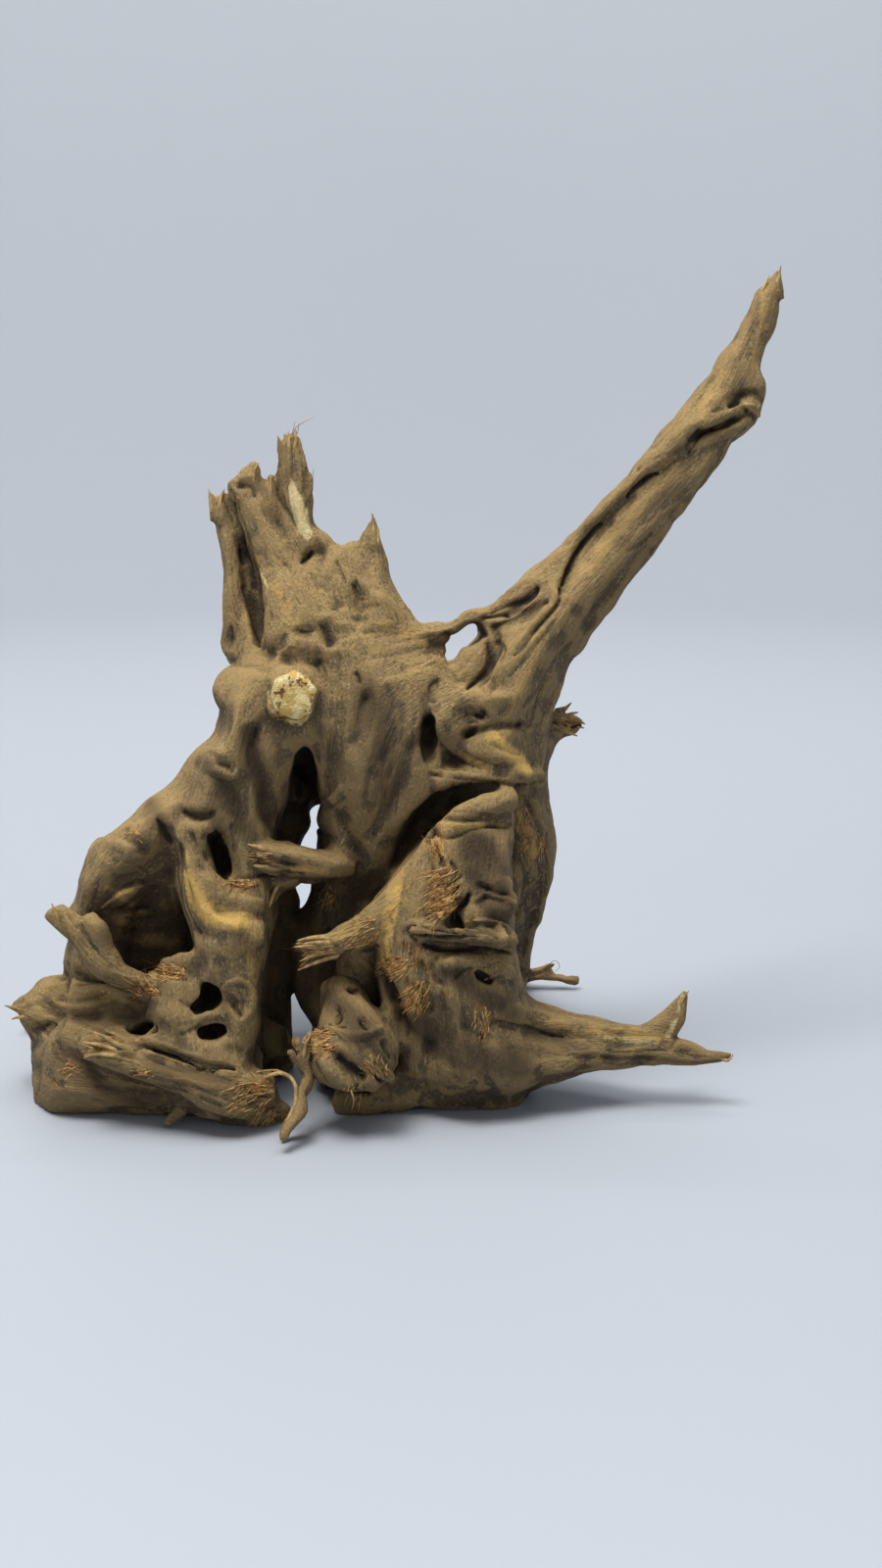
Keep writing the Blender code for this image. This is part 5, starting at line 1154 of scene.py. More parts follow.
# Raised grain: cell across and along the grain, and height, all in millimetres.
RAISED_GRAIN = ((9.0, 70.0, 0.45), (4.2, 38.0, 0.26), (2.4, 24.0, 0.16))
SPLITS = ((7.0, 95.0, 0.8), (4.0, 48.0, 0.45))
SPLIT_WIDTH = 0.07
# Splits open in patches only: a patch's size in millimetres, and how its noise is stretched and lowered.
SPLIT_PATCH = (14, 14, 45)
SPLIT_PATCH_STRETCH = 3
SPLIT_PATCH_LOWER = 0.9
# Torn wood: cell across and along the grain, and height, in millimetres, and how far the noise is lowered.
TORN = (1.7, 7.0, 1.9)
TORN_LOWER = 0.2
# How much deeper all this goes on the sides that the strokes don't reach, and from what facing.
WILDER = 1.2
WILD_UNDER = 0.5
LUMPS = (26.0, 60.0, 1.3)
SPLIT_SEED = 10
SPLIT_PATCH_SEED = 20
TORN_SEED = 30
LUMP_SEED = 40
LEAST_SHARE = 0.001


def grain_relief(obj):
    """Raised grain and drying splits, which run along the limbs all round."""
    co, normals = points_of(obj.data)
    score, frame_at = grain.nearest(co)
    order = np.argsort(score, 1)[:, :2]
    rows = np.arange(len(co))
    share = share_between(score[rows, order[:, 0]], score[rows, order[:, 1]])
    rise = np.zeros(len(co))
    place_seen = photo_board(co)
    wild = 1 + WILDER * np.clip(WILD_UNDER - (place_seen[2] * normals).sum(1), 0, 1)
    torn = stroke_weight(place_seen, RUST, round_over, np.maximum)
    torn *= facing_share(place_seen, normals)
    torn *= in_view(co, normals, place_seen[2], torn, form_tree)
    for k, weight in ((0, 1 - share), (1, share)):
        used = np.nonzero(weight > LEAST_SHARE)[0]
        place = grain.place(co[used], frame_at[used, order[used, k]])
        part = np.zeros(len(used))
        for seed, (wide, long, height) in enumerate(RAISED_GRAIN):
            part += height * value_noise(place / (wide, wide, long), seed)
        wide, long, height = LUMPS
        part += (wild[used] - 1) * height * value_noise(place / (wide, wide, long), LUMP_SEED)
        for seed, (wide, long, depth) in enumerate(SPLITS):
            line = np.abs(value_noise(place / (wide, wide, long), SPLIT_SEED + seed))
            patch = value_noise(place / SPLIT_PATCH, SPLIT_PATCH_SEED + seed)
            only = np.clip(patch * SPLIT_PATCH_STRETCH - SPLIT_PATCH_LOWER, 0, 1)
            part -= depth * only * np.clip(1 - line / SPLIT_WIDTH, 0, 1)
        wide, long, height = TORN
        part += torn[used] * height * (value_noise(place / (wide, wide, long), TORN_SEED) - TORN_LOWER)
        rise[used] += weight[used] * wild[used] * part
    put_points(obj.data, co + normals * (rise * MM)[:, None])


CARVED_ROUNDS = 1
grain_relief(driftwood)
rounded(driftwood, CARVED_ROUNDS)
driftwood.modifiers.new("three-sided", "TRIANGULATE")
worked_in(driftwood)

# The side that was drawn from the photograph keeps more of its faces than the rest.
SKIN_TRIANGLES = 192_000
HIDDEN_KEPT = 0.22
SHOWN_FROM = 0.05
co, normals = points_of(driftwood.data)
toward = photo_board(co)[2]
shown = in_view(co, normals, toward, (toward * normals).sum(1) > SHOWN_FROM, form_tree)
group = driftwood.vertex_groups.new(name="thinned first")
group.add(np.nonzero(shown == 0)[0].tolist(), 1.0, "REPLACE")
shown_share = shown.mean()
thin = driftwood.modifiers.new("fewer faces", "DECIMATE")
thin.ratio = shown_share + (1 - shown_share) * HIDDEN_KEPT
thin.vertex_group = group.name
worked_in(driftwood)
driftwood.vertex_groups.clear()
thin = driftwood.modifiers.new("fewer faces", "DECIMATE")
thin.ratio = SKIN_TRIANGLES / len(driftwood.data.polygons)
worked_in(driftwood)

# Nothing sinks through the ground that the feet stand on.
skin = driftwood.data
co, normals = points_of(skin)
co[:, 2] = np.maximum(co[:, 2], 0)
put_points(skin, co)
skin.shade_smooth()


def put_values(mesh, name, values):
    """Numbers, one for each corner point of the mesh, kept for its material."""
    mesh.attributes.new(name, "FLOAT", "POINT").data.foreach_set("value", values)


def edge_mean(values, edges, count):
    """Each point's neighbours' mean value."""
    total = np.zeros_like(values)
    for a, b in ((0, 1), (1, 0)):
        if values.ndim == 1:
            total += np.bincount(edges[:, a], values[edges[:, b]], len(values))
        else:
            for axis in range(values.shape[1]):
                total[:, axis] += np.bincount(edges[:, a], values[edges[:, b], axis], len(values))
    return total / (count if values.ndim == 1 else count[:, None])


co, normals = points_of(skin)
place = photo_board(co)
facing = facing_share(place, normals)
for name, strokes in STAINS_AND_PAINTED_LIGHT.items():
    weight = stroke_weight(place, strokes, round_over, np.maximum)
    weight *= facing * in_view(co, normals, place[2], weight, form_tree)
    put_values(skin, name, weight)

edges = edges_of(skin)
links = np.bincount(edges.ravel(), minlength=len(co)).astype(float)
# How far each point lies below the wood close round it, and below the wood in a wider ring, in millimetres.
HOLLOW_ROUNDS = 4
DIP_ROUNDS = 34
calm = co.copy()
for k in range(DIP_ROUNDS):
    calm = edge_mean(calm, edges, links)
    if k == HOLLOW_ROUNDS:
        put_values(skin, "hollow", ((calm - co) * normals).sum(1) / MM)
put_values(skin, "dip", ((calm - co) * normals).sum(1) / MM)


def evened(values, rounds, kept):
    """Values shared out among neighbours, each point keeping a part of its own in every round."""
    for _ in range(rounds):
        values = kept * values + (1 - kept) * edge_mean(values, edges, links)
    return values


# How far each point faces upward, with small relief left out; the wood is painted lighter where it faces up,
# as painted top light, and darker where it faces down, as painted shade.
UPWARD_ROUNDS = 8
UPWARD_KEPT = 0.3
put_values(skin, "upward", evened(normals[:, 2], UPWARD_ROUNDS, UPWARD_KEPT))

# How much of the sky each point sees over the wood round it; where it sees little, the wood is painted
# darker as painted shade.
SKY_RAYS = 20
SKY_REACH = 0.09
SKY_START = 1.5
SKY_ROUNDS = 4
SKY_KEPT = 0.4
turn = math.pi * (3 - math.sqrt(5))
sky = []
for k in range(SKY_RAYS):
    # Directions thicken towards the normal, as the light that a matt surface gathers does.
    out = math.sqrt((k + 0.5) / SKY_RAYS)
    sky.append((out * math.cos(turn * k), out * math.sin(turn * k), math.sqrt(1 - out * out)))
open_sky = np.empty(len(co))
for i, (point, normal) in enumerate(zip(co.tolist(), normals.tolist())):
    up = Vector(normal)
    side = up.orthogonal().normalized()
    back = up.cross(side)
    start = Vector(point) + up * (SKY_START * MM)
    free = 0
    for x, y, z in sky:
        if form_tree.ray_cast(start, side * x + back * y + up * z, SKY_REACH)[0] is None:
            free += 1
    open_sky[i] = free / SKY_RAYS
put_values(skin, "open sky", evened(open_sky, SKY_ROUNDS, SKY_KEPT))

# Where each face lies in the grain of its nearest limb, and of the next one, so that the two can blend.
score, frame_at = grain.nearest(co)
corners = np.empty(len(skin.loops), dtype=int)
skin.loops.foreach_get("vertex_index", corners)
order = np.argsort(score[corners.reshape(-1, 3)].sum(1), 1)[:, :2]
corner_line = np.repeat(order, 3, 0)
for k, name in ((0, "grain"), (1, "grain beside")):
    spot = grain.place(co[corners], frame_at[corners, corner_line[:, k]])
    skin.attributes.new(name, "FLOAT_VECTOR", "CORNER").data.foreach_set("vector", spot.ravel())
share = share_between(score[corners, corner_line[:, 0]], score[corners, corner_line[:, 1]])
skin.attributes.new("grain share", "FLOAT", "CORNER").data.foreach_set("value", share)


class Shade:
    """A socket of a material that plain arithmetic can work on."""

    def __init__(self, finish, socket):
        self.finish = finish
        self.socket = socket

    def math(self, operation, a, b=0.0):
        """One step of arithmetic, laid as a node."""
        return self.finish.node("ShaderNodeMath", {"operation": operation}, {0: a, 1: b})

    def __add__(self, other):
        return self.math("ADD", self, other)

    def __radd__(self, other):
        return self.math("ADD", other, self)

    def __sub__(self, other):
        return self.math("SUBTRACT", self, other)

    def __rsub__(self, other):
        return self.math("SUBTRACT", other, self)

    def __mul__(self, other):
        return self.math("MULTIPLY", self, other)

    def __rmul__(self, other):
        return self.math("MULTIPLY", other, self)

    def __truediv__(self, other):
        return self.math("DIVIDE", self, other)

    def __pow__(self, other):
        return self.math("POWER", self, other)


class Finish:
    """A material while its nodes are laid."""

    def __init__(self, name):
        self.material = bpy.data.materials.new(name)
        self.material.use_nodes = True
        self.tree = self.material.node_tree
        self.shader = self.tree.nodes["Principled BSDF"]

    def node(self, kind, settings=None, sockets=None, output=0):
        """One node with its settings made and its sockets filled; its output can be worked on."""
        node = self.tree.nodes.new(kind)
        for name, value in (settings or {}).items():
            setattr(node, name, value)
        for name, value in (sockets or {}).items():
            if isinstance(value, Shade):
                self.tree.links.new(value.socket, node.inputs[name])
            else:
                node.inputs[name].default_value = value
        return Shade(self, node.outputs[output])

    def set(self, **sockets):
        """The shader's own sockets, by name with an underscore for a space."""
        for name, value in sockets.items():
            socket = self.shader.inputs[name.replace("_", " ")]
            if isinstance(value, Shade):
                self.tree.links.new(value.socket, socket)
            else:
                socket.default_value = value

    def kept(self, name, output="Fac"):
        """What the mesh keeps under a name."""
        return self.node("ShaderNodeAttribute", {"attribute_name": name}, None, output)

    def band(self, value, low, high):
        """A smooth climb from 0 at low to 1 at high."""
        sockets = {"Value": value, "From Min": low, "From Max": high}
        return self.node("ShaderNodeMapRange", {"interpolation_type": "SMOOTHSTEP"}, sockets)

    def tint(self, share, under, over):
        """One colour laid over another by a share."""
        return self.node("ShaderNodeMix", {"data_type": "RGBA"}, {0: share, 6: under, 7: over}, 2)

    def stretched(self, vector, sizes):
        """A vector in cells of the given three sizes."""
        scale = tuple(1 / size for size in sizes)
        return self.node("ShaderNodeVectorMath", {"operation": "MULTIPLY"}, {0: vector, 1: scale})

    def cloud(self, vector, sizes, detail=2.0, roughness=0.5):
        """Noise about a half in cells of the given sizes."""
        sockets = {"Vector": self.stretched(vector, sizes), "Scale": 1.0}
        sockets.update({"Detail": detail, "Roughness": roughness})
        return self.node("ShaderNodeTexNoise", None, sockets)


def paint(red, green, blue):
    """A colour from 0-255 numbers, as a lamp's light would need it."""
    linear = []
    for value in (red, green, blue):
        value /= 255
        linear.append(value / 12.92 if value <= 0.04045 else ((value + 0.055) / 1.055) ** 2.4)
    return (*linear, 1.0)


WOOD_BROWN = paint(110, 92, 64)
WOOD_OCHRE = paint(162, 134, 85)
WOOD_HONEY = paint(180, 146, 86)
WOOD_GOLD = paint(204, 166, 88)
WOOD_GREY = paint(98, 83, 60)
WOOD_DARK = paint(58, 45, 32)
# Near black: dark flecks in the grain, and painted shade in the deepest hollows.
WOOD_NEAR_BLACK = paint(26, 20, 16)
WOOD_PALE = paint(206, 186, 136)
WOOD_RUST = paint(150, 108, 62)
WOOD_RUST_GAP = paint(56, 40, 26)
WOOD_MOSS = paint(112, 102, 58)
SAWN_CREAM = paint(222, 203, 147)
SAWN_YELLOW = paint(194, 162, 90)
SAWN_BROWN = paint(105, 71, 39)

wood = Finish("weathered root wood")
spot = wood.node("ShaderNodeTexCoord", None, None, "Object")
here = wood.kept("grain", "Vector")
beside = wood.kept("grain beside", "Vector")
crossing = wood.kept("grain share")


def along_grain(sizes, detail=2.0, roughness=0.55):
    """Noise drawn out along the grain, from both lines of grain that a place lies between."""
    first = wood.cloud(here, sizes, detail, roughness)
    second = wood.cloud(beside, sizes, detail, roughness)
    return first + (second - first) * crossing


fine = along_grain((0.8, 0.8, 9.0), 2.0)
strands = along_grain((2.4, 2.4, 26.0), 3.0)
lines = along_grain((1.5, 1.5, 15.0), 2.0)
patches = wood.cloud(spot, (0.028, 0.028, 0.028), 4.0, 0.6)
flecks = wood.cloud(spot, (0.0016, 0.0016, 0.0016), 2.0, 0.6)
weathered = wood.cloud(spot, (0.009, 0.009, 0.009), 3.0, 0.6)
hollow = wood.kept("hollow")
dip = wood.kept("dip")
painted_occlusion_shade = 1 - wood.kept("open sky")

upward = wood.kept("upward")
colour = wood.tint(wood.band(patches + (strands - 0.5) * 0.5, 0.38, 0.62), WOOD_BROWN, WOOD_GREY)
# Painted top light: faces that look up are painted a lighter ochre.
painted_top_light = wood.band(upward + (strands - 0.5) * 0.9 + (weathered - 0.5) * 0.8, -0.1, 0.9)
colour = wood.tint(painted_top_light * 0.85, colour, WOOD_OCHRE)
# Painted shade: faces that look down are painted darker.
colour = wood.tint(wood.band(upward + (patches - 0.5) * 0.6, 0.15, -0.75) * 0.5, colour, WOOD_DARK)
height = wood.node("ShaderNodeSeparateXYZ", None, {0: spot}, "Z")
colour = wood.tint(wood.band(height + (patches - 0.5) * 0.2, 0.16, -0.04) * 0.4, colour, WOOD_DARK)
colour = wood.tint(wood.band(lines + (flecks - 0.5) * 0.6, 0.5, 0.3) * 0.35, colour, WOOD_DARK)
colour = wood.tint(wood.band(fine + (flecks - 0.5) * 0.8, 0.56, 0.8) * 0.35, colour, WOOD_PALE)
colour = wood.tint(wood.band(fine + (flecks - 0.5) * 0.8, 0.48, 0.28) * 0.3, colour, WOOD_NEAR_BLACK)
worn = wood.band(hollow * -1.0 + (weathered - 0.5) * 0.25, 0.03, 0.3)
colour = wood.tint(worn * 0.35, colour, WOOD_OCHRE)
ragged = (strands - 0.5) * 0.7 + (flecks - 0.5) * 0.5 + (weathered - 0.5) * 0.6
# Ochre: the wood's own colour, with a painted highlight on the lit ledge.
colour = wood.tint(wood.band(wood.kept("ochre") + ragged, 0.15, 0.75) * 0.75, colour, WOOD_HONEY)
# The wood's own dark stains, partly painted shade.
colour = wood.tint(wood.band(wood.kept("dark") + ragged * 0.7, 0.05, 0.9) * 0.78, colour, WOOD_DARK)
colour = wood.tint(wood.band(wood.kept("moss") + ragged, 0.2, 0.7) * 0.8, colour, WOOD_MOSS)
# Gold: the wood's own yellow, with a painted highlight on lit ledges and ridges.
colour = wood.tint(wood.band(wood.kept("gold") + ragged, 0.2, 0.8) * 0.7, colour, WOOD_GOLD)
# Painted shade: the gaps between the torn wood's strands are painted a near black-brown.
torn_strands = wood.band(fine * 0.6 + flecks * 0.4 + (strands - 0.5) * 0.4, 0.42, 0.58)
torn = wood.tint(torn_strands, WOOD_RUST_GAP, WOOD_RUST)
colour = wood.tint(wood.band(wood.kept("rust") + ragged * 1.6, 0.3, 0.75) * 0.85, colour, torn)
colour = wood.tint(wood.band(wood.kept("pale") + ragged, 0.3, 0.8) * 0.8, colour, WOOD_PALE)
rings = wood.cloud(spot, (0.005, 0.02, 0.005), 3.0, 0.65)
sawn = wood.tint(wood.band(rings, 0.4, 0.6), SAWN_CREAM, SAWN_YELLOW)
sawn = wood.tint(wood.band(weathered + (flecks - 0.5) * 0.5, 0.56, 0.68), sawn, SAWN_BROWN)
sawn_face = wood.band(wood.kept("sawn") + (flecks - 0.5) * 0.3 + (weathered - 0.5) * 0.4, 0.2, 0.35)
colour = wood.tint(sawn_face, colour, sawn)
# Painted shade: dips and hollows are painted darker, the deepest near black.
colour = wood.tint(wood.band(dip, 0.4, 3.2) * 0.38, colour, WOOD_DARK)
# Painted shade: the wood is painted darker where the wood round it shuts out the sky.
colour = wood.tint(wood.band(painted_occlusion_shade, 0.35, 0.95) * 0.72, colour, WOOD_DARK)
colour = wood.tint(wood.band(hollow, 0.06, 0.5) * 0.3, colour, WOOD_DARK)
colour = wood.tint(wood.band(hollow, 0.35, 1.3) * 0.8, colour, WOOD_NEAR_BLACK)

relief = fine * 0.6 + lines * 0.5 + strands * 0.8 + flecks * 0.6 + weathered * 0.8
bump = wood.node("ShaderNodeBump", None, {"Strength": 0.9, "Distance": 1.3 * MM, "Height": relief})
wood.set(Base_Color=colour, Roughness=0.8 + (flecks - 0.5) * 0.2, Specular_IOR_Level=0.3, Normal=bump)
skin.materials.clear()
skin.materials.append(wood.material)
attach(driftwood, "root")
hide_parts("driftwood")

# Torn fibres: where the wood broke, orange strands lie matted on it or stand off it in tufts. Each is a
# thin tapering strand of the wood itself, still rooted in it.
skin_tree = tree_of(skin)
# Middle and half size in pixels, way of the strands in degrees (0 to the right, 90 up), their length in
# millimetres, how far their ends stand off, and how many.
TUFTS = (
    (170, 992, 20, 9, 170, 11, 2.5, 60),
    (152, 1011, 13, 7, 160, 10, 2.5, 34),
    (446, 869, 8, 13, 100, 10, 2.0, 44),
    (457, 905, 14, 24, 215, 13, 2.5, 90),
    (460, 924, 11, 12, 205, 12, 3.0, 44),
    (404, 984, 20, 11, 215, 9, 3.0, 60),
    (428, 1014, 14, 14, 240, 8, 3.0, 60),
    (332, 1063, 13, 15, 195, 8, 3.0, 54),
    (135, 852, 16, 12, 150, 4, 1.0, 10),
    (250, 902, 12, 5, 185, 8, 2.5, 30),
    (335, 912, 9, 10, 250, 6, 2.5, 24),
    (262, 1118, 28, 16, 200, 8, 2.5, 44),
    (278, 1108, 16, 12, 170, 9, 3.5, 40),
    (275, 1140, 18, 8, 230, 8, 3.5, 40),
    (384, 1092, 13, 9, 120, 5, 2.0, 30),
    (492, 1040, 10, 18, 260, 4, 2.0, 30),
    (545, 862, 14, 14, 265, 8, 1.5, 36),
    (535, 832, 6, 10, 265, 8, 1.5, 14),
    (325, 968, 20, 9, 185, 12, 2.5, 44),
    (375, 950, 14, 16, 200, 12, 1.5, 30),
    (268, 874, 12, 8, 180, 6, 2.0, 18),
    (578, 736, 12, 9, 350, 7, 2.0, 20),
    (110, 1066, 18, 12, 170, 9, 2.5, 34),
    (150, 1095, 9, 4, 190, 6, 2.0, 12),
    (75, 1090, 9, 9, 200, 5, 1.5, 10),
    (362, 1112, 14, 9, 255, 6, 2.5, 24),
    (306, 1064, 14, 8, 100, 9, 2.0, 34),
)
# Millimetres to a pixel at the wood.
PIXEL = 0.5
STRAND_STEPS = 6
STRAND_HALF = 0.32
STRAND_TAPER = 0.85
# How deep a strand's root may be sunk and how far it may jog, in millimetres, and how far it wanders, in
# degrees.
STRAND_SUNK = 0.3
STRAND_JOG = 0.5
STRAND_WANDER = 8
WAY_SPREAD = 14
# A strand that finds the wood this much farther off, in millimetres, runs on into the air.
LONGEST_STEP = 5
draw = random.Random(7)


def lying_strand(px, py, turn, length, off, tree, half):
    """A strand that lies along the wood from a pixel, its far end standing off."""
    points = []
    last = None
    x, y = px, py
    for k in range(STRAND_STEPS + 1):
        place, normal, _, _ = tree.ray_cast(EYE, sight(x, y))
        if place is None or (last is not None and (place - last).length > LONGEST_STEP * MM):
            if len(points) < 2:
                return None
            point = last + (points[-1][0] - points[-2][0])
        else:
            rise = off * (k / STRAND_STEPS) ** 1.5 - STRAND_SUNK + draw.uniform(0, STRAND_JOG)
            point = place + normal * rise * MM
            last = place
        taper = half * (1 - STRAND_TAPER * k / STRAND_STEPS)
        points.append((point, taper * MM))
        turn += draw.uniform(-STRAND_WANDER, STRAND_WANDER)
        stride = length / STRAND_STEPS / PIXEL
        x += math.cos(math.radians(turn)) * stride
        y -= math.sin(math.radians(turn)) * stride
    return points


def tuft_strands(tree):
    """All the strands of all the tufts."""
    strands = []
    for px, py, wide, high, turn, length, off, count in TUFTS:
        for _ in range(count):
            far = math.sqrt(draw.random())
            angle = draw.uniform(0, 2 * math.pi)
            x = px + wide * far * math.cos(angle)
            y = py + high * far * math.sin(angle)
            way = turn + draw.gauss(0, WAY_SPREAD)
            long = length * draw.uniform(0.5, 1.3)
            lift = off * draw.uniform(0, 1)
            half = STRAND_HALF * draw.uniform(0.6, 1.4)
            strand = lying_strand(x, y, way, long, lift, tree, half)
            if strand:
                strands.append(strand)
    return strands


def fibre_piece(name, strands, finish):
    """A piece of thin strands in one finish."""
    piece = bpy.data.objects.new(name, strand_curve(name, strands, 0))
    bpy.context.scene.collection.objects.link(piece)
    piece.data.shade_smooth()
    piece.data.materials.clear()
    piece.data.materials.append(finish.material)
    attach(piece, "root")
    return piece


FIBRE_ORANGE = paint(170, 120, 62)
FIBRE_STRAW = paint(206, 166, 100)
FIBRE_BROWN = paint(84, 58, 36)

fibre = Finish("torn wood fibre")
spot = fibre.node("ShaderNodeTexCoord", None, None, "Object")
mottle = fibre.cloud(spot, (0.003, 0.003, 0.003), 3.0, 0.6)
colour = fibre.tint(fibre.band(mottle, 0.42, 0.6), FIBRE_ORANGE, FIBRE_STRAW)
colour = fibre.tint(fibre.band(mottle, 0.46, 0.3), colour, FIBRE_BROWN)
fibre.set(Base_Color=colour, Roughness=0.75)
fibre_piece("torn_fibres", tuft_strands(skin_tree), fibre)

# Splinters and hairs: slivers of the same wood that stand off where a limb broke, too thin for the grown
# skin, and the few loose hairs of fibre at the crown's tip and at the twigs. Each is rooted in the wood.
# Pixel, millimetres nearer the eye than the sliver's root, and half width in millimetres.
SLIVERS = (
    ((295, 458, 0, 1.4), (295, 449, 1, 0.9), (294, 440, 1, 0.2)),
    ((300, 460, 0, 1.2), (302, 449, 1, 0.7), (302, 439, 1, 0.2)),
    ((290, 466, 0, 1.0), (286, 454, 1, 0.6), (283, 445, 2, 0.15)),
    ((217, 522, 0, 1.6), (215, 510, 1, 1.1), (213, 499, 1, 0.25)),
    ((224, 520, 0, 1.4), (226, 508, 1, 1.0), (229, 499, 1, 0.25)),
    ((258, 492, 0, 1.6), (260, 480, 1, 1.1), (264, 472, 1, 0.25)),
    ((276, 512, 0, 1.6), (276, 498, 1, 1.1), (276, 485, 1, 0.25)),
    ((381, 548, 0, 1.5), (381, 536, 0, 1.0), (380, 524, 0, 0.25)),
    ((385, 560, 0, 1.2), (386, 548, 0, 0.8), (385, 538, 0, 0.25)),
    ((792, 292, 0, 1.5), (795, 280, 0, 1.0), (797, 271, 0, 0.25)),
    ((776, 300, 0, 1.2), (781, 290, 0, 0.8), (785, 281, 0, 0.25)),
    ((340, 958, 0, 1.8), (320, 957, 2, 1.3), (303, 960, 3, 0.3)),
    ((340, 964, 0, 1.8), (318, 966, 3, 1.3), (300, 966, 3, 0.3)),
    ((342, 970, 0, 1.8), (322, 974, 3, 1.3), (306, 981, 3, 0.3)),
    ((345, 974, 0, 1.6), (325, 981, 3, 1.2), (304, 990, 3, 0.3)),
    ((338, 962, 0, 1.4), (322, 962, 4, 1.0), (310, 963, 4, 0.3)),
    ((276, 868, 0, 1.6), (262, 864, 2, 1.1), (250, 861, 2, 0.3)),
    ((276, 884, 0, 1.4), (262, 884, 2, 1.0), (250, 880, 2, 0.3)),
    ((280, 896, 0, 1.4), (258, 898, 2, 1.0), (236, 902, 3, 0.3)),
    ((282, 900, 0, 1.3), (262, 903, 2, 0.9), (240, 908, 3, 0.3)),
    ((284, 902, 0, 1.2), (279, 913, 2, 1.2), (275, 926, 3, 0.3)),
    ((578, 730, 0, 1.6), (588, 734, 0, 1.1), (597, 739, 0, 0.3)),
    ((574, 726, 0, 1.4), (579, 721, 0, 0.9), (583, 717, 0, 0.3)),
    ((576, 738, 0, 1.5), (587, 741, 0, 1.0), (596, 743, 0, 0.3)),
    ((572, 744, 0, 1.4), (582, 748, 0, 0.9), (589, 751, 0, 0.3)),
    ((574, 732, 0, 1.3), (584, 728, 0, 0.8), (590, 727, 0, 0.3)),
    ((120, 1066, 0, 1.5), (106, 1058, 2, 1.0), (92, 1052, 3, 0.3)),
    ((118, 1072, 0, 1.5), (100, 1066, 2, 1.0), (84, 1064, 3, 0.3)),
    ((120, 1078, 0, 1.4), (102, 1076, 2, 0.9), (86, 1078, 3, 0.3)),
    ((24, 1030, 0, 1.4), (13, 1028, 0, 0.9), (5, 1026, 0, 0.3)),
    ((26, 1038, 0, 1.2), (18, 1038, 0, 0.8), (12, 1040, 0, 0.3)),
    ((494, 1000, 0, 1.4), (504, 994, 2, 1.1), (513, 985, 2, 0.3)),
    ((692, 1030, 0, 1.3), (697, 1018, 0, 0.9), (703, 1011, 0, 0.3)),
    ((735, 1080, 0, 1.2), (743, 1082, 0, 0.8), (748, 1076, 0, 0.3)),
    ((60, 940, 0, 1.4), (56, 930, 1, 0.9), (53, 922, 1, 0.3)),
    ((310, 1080, 0, 1.4), (312, 1066, 2, 1.0), (318, 1055, 3, 0.3)),
)
HAIRS = (
    ((298, 452, 0, 0.3), (301, 438, 1, 0.22), (308, 432, 2, 0.18), (320, 426, 3, 0.1)),
    ((300, 450, 0, 0.3), (304, 440, 1, 0.2), (305, 432, 1, 0.1)),
    ((296, 450, 0, 0.3), (299, 440, 1, 0.2), (301, 430, 2, 0.1)),
    ((312, 495, 0, 0.25), (319, 486, 1, 0.2), (320, 478, 1, 0.1)),
    ((556, 988, 0, 0.3), (566, 980, 1, 0.2), (571, 986, 1, 0.2), (566, 992, 1, 0.1)),
    ((270, 1100, 0, 1.0), (284, 1095, 3, 1.1), (296, 1099, 6, 1.2), (302, 1110, 9, 1.2),
     (301, 1126, 12, 1.2),
     (294, 1145, 17, 1.2), (289, 1159, 21, 1.0)),
    ((262, 1094, 0, 0.6), (282, 1092, 3, 0.5), (298, 1098, 5, 0.3)),
    ((358, 1112, 0, 0.5), (361, 1122, 1, 0.35), (360, 1130, 1, 0.15)),
)
SPLINTER_BROWN = paint(140, 112, 70)
SPLINTER_PALE = paint(184, 154, 98)
SLIVER_SUNK = 0.9


splinter = Finish("splintered wood")
spot = splinter.node("ShaderNodeTexCoord", None, None, "Object")
mottle = splinter.cloud(spot, (0.003, 0.003, 0.006), 3.0, 0.6)
colour = splinter.tint(splinter.band(mottle, 0.4, 0.62), SPLINTER_BROWN, SPLINTER_PALE)
splinter.set(Base_Color=colour, Roughness=0.8)
fibre_piece("splinters", standing_strands(SLIVERS + HAIRS, skin_tree, SLIVER_SUNK), splinter)

# The studio: a plain pale floor that is swept up all round into a low wall, so that no edge of it shows
# from any side, soft light from above, and the camera at the photograph's place.
FLOOR_FLAT = 2.0
FLOOR_BEND = 1.5
WALL_TOP = 2.6
BEND_STEPS = 18
FLOOR_SIDES = 72
FLOOR_COLOUR = paint(174, 179, 187)
bowl = bmesh.new()
bmesh.ops.create_circle(bowl, cap_ends=True, segments=FLOOR_SIDES, radius=FLOOR_FLAT)
rim = [edge for edge in bowl.edges if edge.is_boundary]
reach = FLOOR_FLAT
height = 0.0
for k in range(1, BEND_STEPS + 2):
    angle = math.pi / 2 * min(k, BEND_STEPS) / BEND_STEPS
    new_reach = FLOOR_FLAT + FLOOR_BEND * math.sin(angle)
    new_height = FLOOR_BEND * (1 - math.cos(angle)) if k <= BEND_STEPS else WALL_TOP
    grown = bmesh.ops.extrude_edge_only(bowl, edges=rim)["geom"]
    rim = [part for part in grown if isinstance(part, bmesh.types.BMEdge)]
    corners_out = [part for part in grown if isinstance(part, bmesh.types.BMVert)]
    wider = new_reach / reach
    bmesh.ops.scale(bowl, verts=corners_out, vec=(wider, wider, 1))
    bmesh.ops.translate(bowl, verts=corners_out, vec=(0, 0, new_height - height))
    reach = new_reach
    height = new_height
bmesh.ops.recalc_face_normals(bowl, faces=bowl.faces)
floor_mesh = bpy.data.meshes.new("floor")
bowl.to_mesh(floor_mesh)
bowl.free()
floor_mesh.shade_smooth()
floor = bpy.data.objects.new("floor", floor_mesh)
bpy.context.scene.collection.objects.link(floor)
card = Finish("pale floor card")
card.set(Base_Color=FLOOR_COLOUR, Roughness=0.55)
floor_mesh.materials.append(card.material)


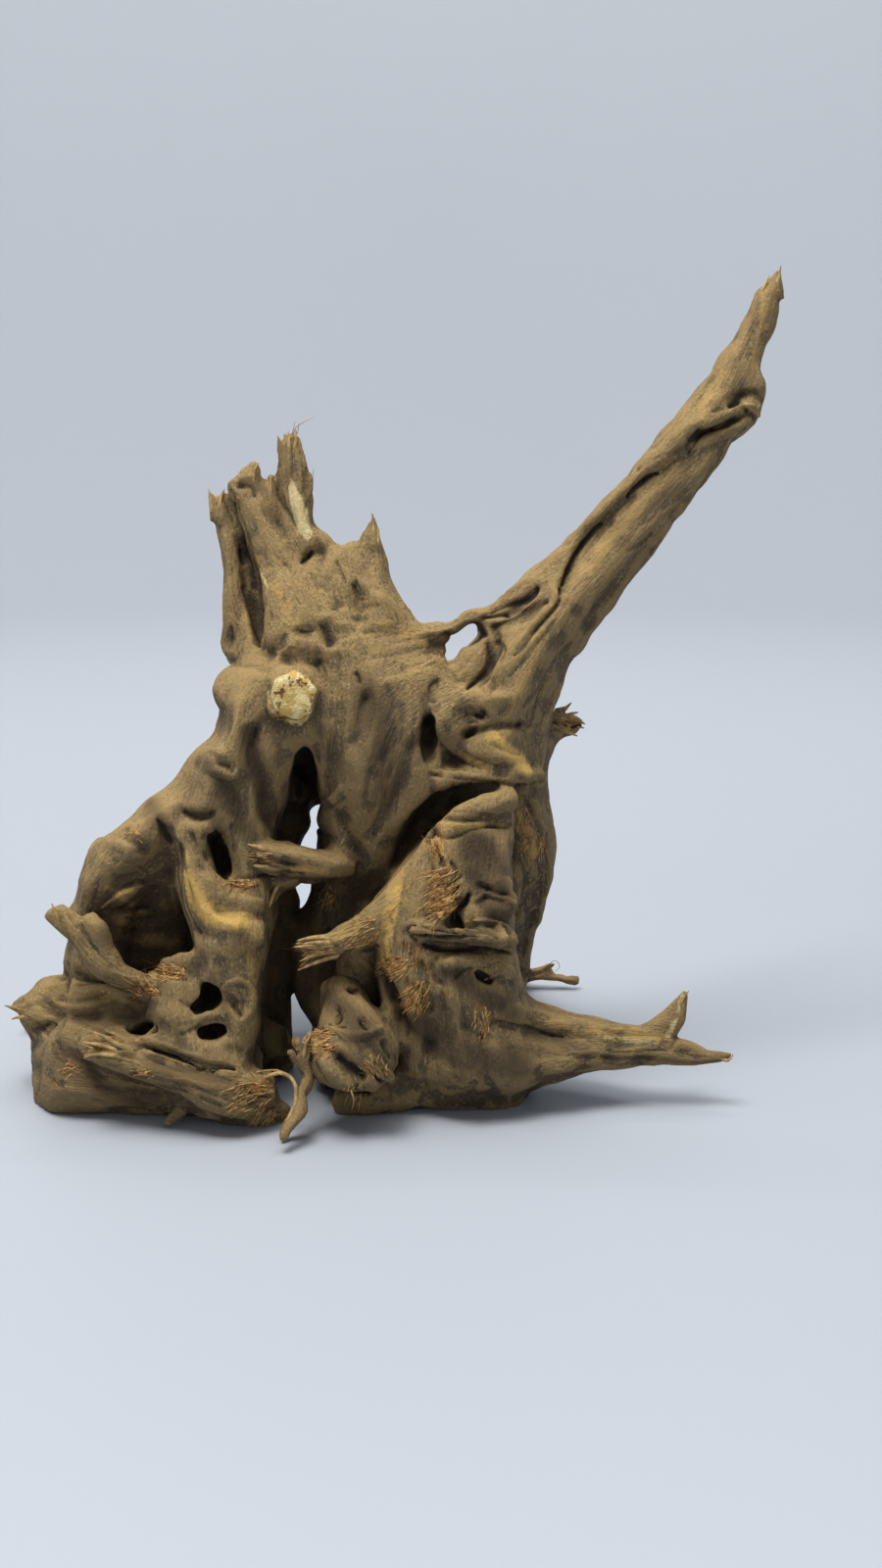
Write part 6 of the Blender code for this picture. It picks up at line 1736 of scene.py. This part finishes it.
def lamp(name, place, aim, size, watts, colour):
    """A square soft light that looks at a point."""
    data = bpy.data.lights.new(name, "AREA")
    data.size = size
    data.energy = watts
    data.color = colour
    obj = bpy.data.objects.new(name, data)
    obj.location = place
    obj.rotation_euler = (Vector(aim) - Vector(place)).to_track_quat("-Z", "Y").to_euler()
    bpy.context.scene.collection.objects.link(obj)
    return obj


# Name, place, size, watts and colour of the lamps that light the wood.
LAMPS = (
    ("key", (-0.45, -0.5, 1.9), 0.75, 27, (1.0, 0.99, 0.96)),
    ("top", (0.15, 0.15, 2.1), 1.5, 16, (0.97, 0.98, 1.0)),
)
WOOD_MIDDLE = (0, 0, 0.18)
for name, place, size, watts, tone in LAMPS:
    lamp(name, place, WOOD_MIDDLE, size, watts, tone)
# Lamps that look outward light the wall only: behind, to the left, in front, to the right. Metres out and
# up.
WALL_WATTS = (52, 38, 40, 30)
WALL_LAMP_OUT, WALL_LAMP_UP = 1.0, 2.3
WALL_AIM_OUT, WALL_AIM_UP = 3.4, 0.9
WALL_LAMP_SIZE = 1.2
WALL_TONE = (1.0, 0.99, 0.95)
for k, watts in enumerate(WALL_WATTS):
    angle = math.pi / 2 * (k + 1)
    out = Vector((math.cos(angle), math.sin(angle), 0))
    place = out * WALL_LAMP_OUT + Vector((0, 0, WALL_LAMP_UP))
    aim = out * WALL_AIM_OUT + Vector((0, 0, WALL_AIM_UP))
    lamp(f"wall {k + 1}", place, aim, WALL_LAMP_SIZE, watts, WALL_TONE)
SKY_COLOUR = (0.84, 0.88, 0.95, 1)
SKY_STRENGTH = 0.33
world = bpy.data.worlds.new("studio")
world.use_nodes = True
world.node_tree.nodes["Background"].inputs["Color"].default_value = SKY_COLOUR
world.node_tree.nodes["Background"].inputs["Strength"].default_value = SKY_STRENGTH
bpy.context.scene.world = world
bpy.context.scene.view_settings.view_transform = "Standard"

LENS = 46
SENSOR = 36
camera_data = bpy.data.cameras.new("camera")
camera_data.lens = LENS
camera_data.sensor_width = SENSOR
camera = bpy.data.objects.new("camera", camera_data)
camera.location = EYE
camera.rotation_euler = (math.radians(90) - LOOK_DOWN, 0, 0)
bpy.context.scene.collection.objects.link(camera)
bpy.context.scene.camera = camera

bpy.context.view_layer.update()
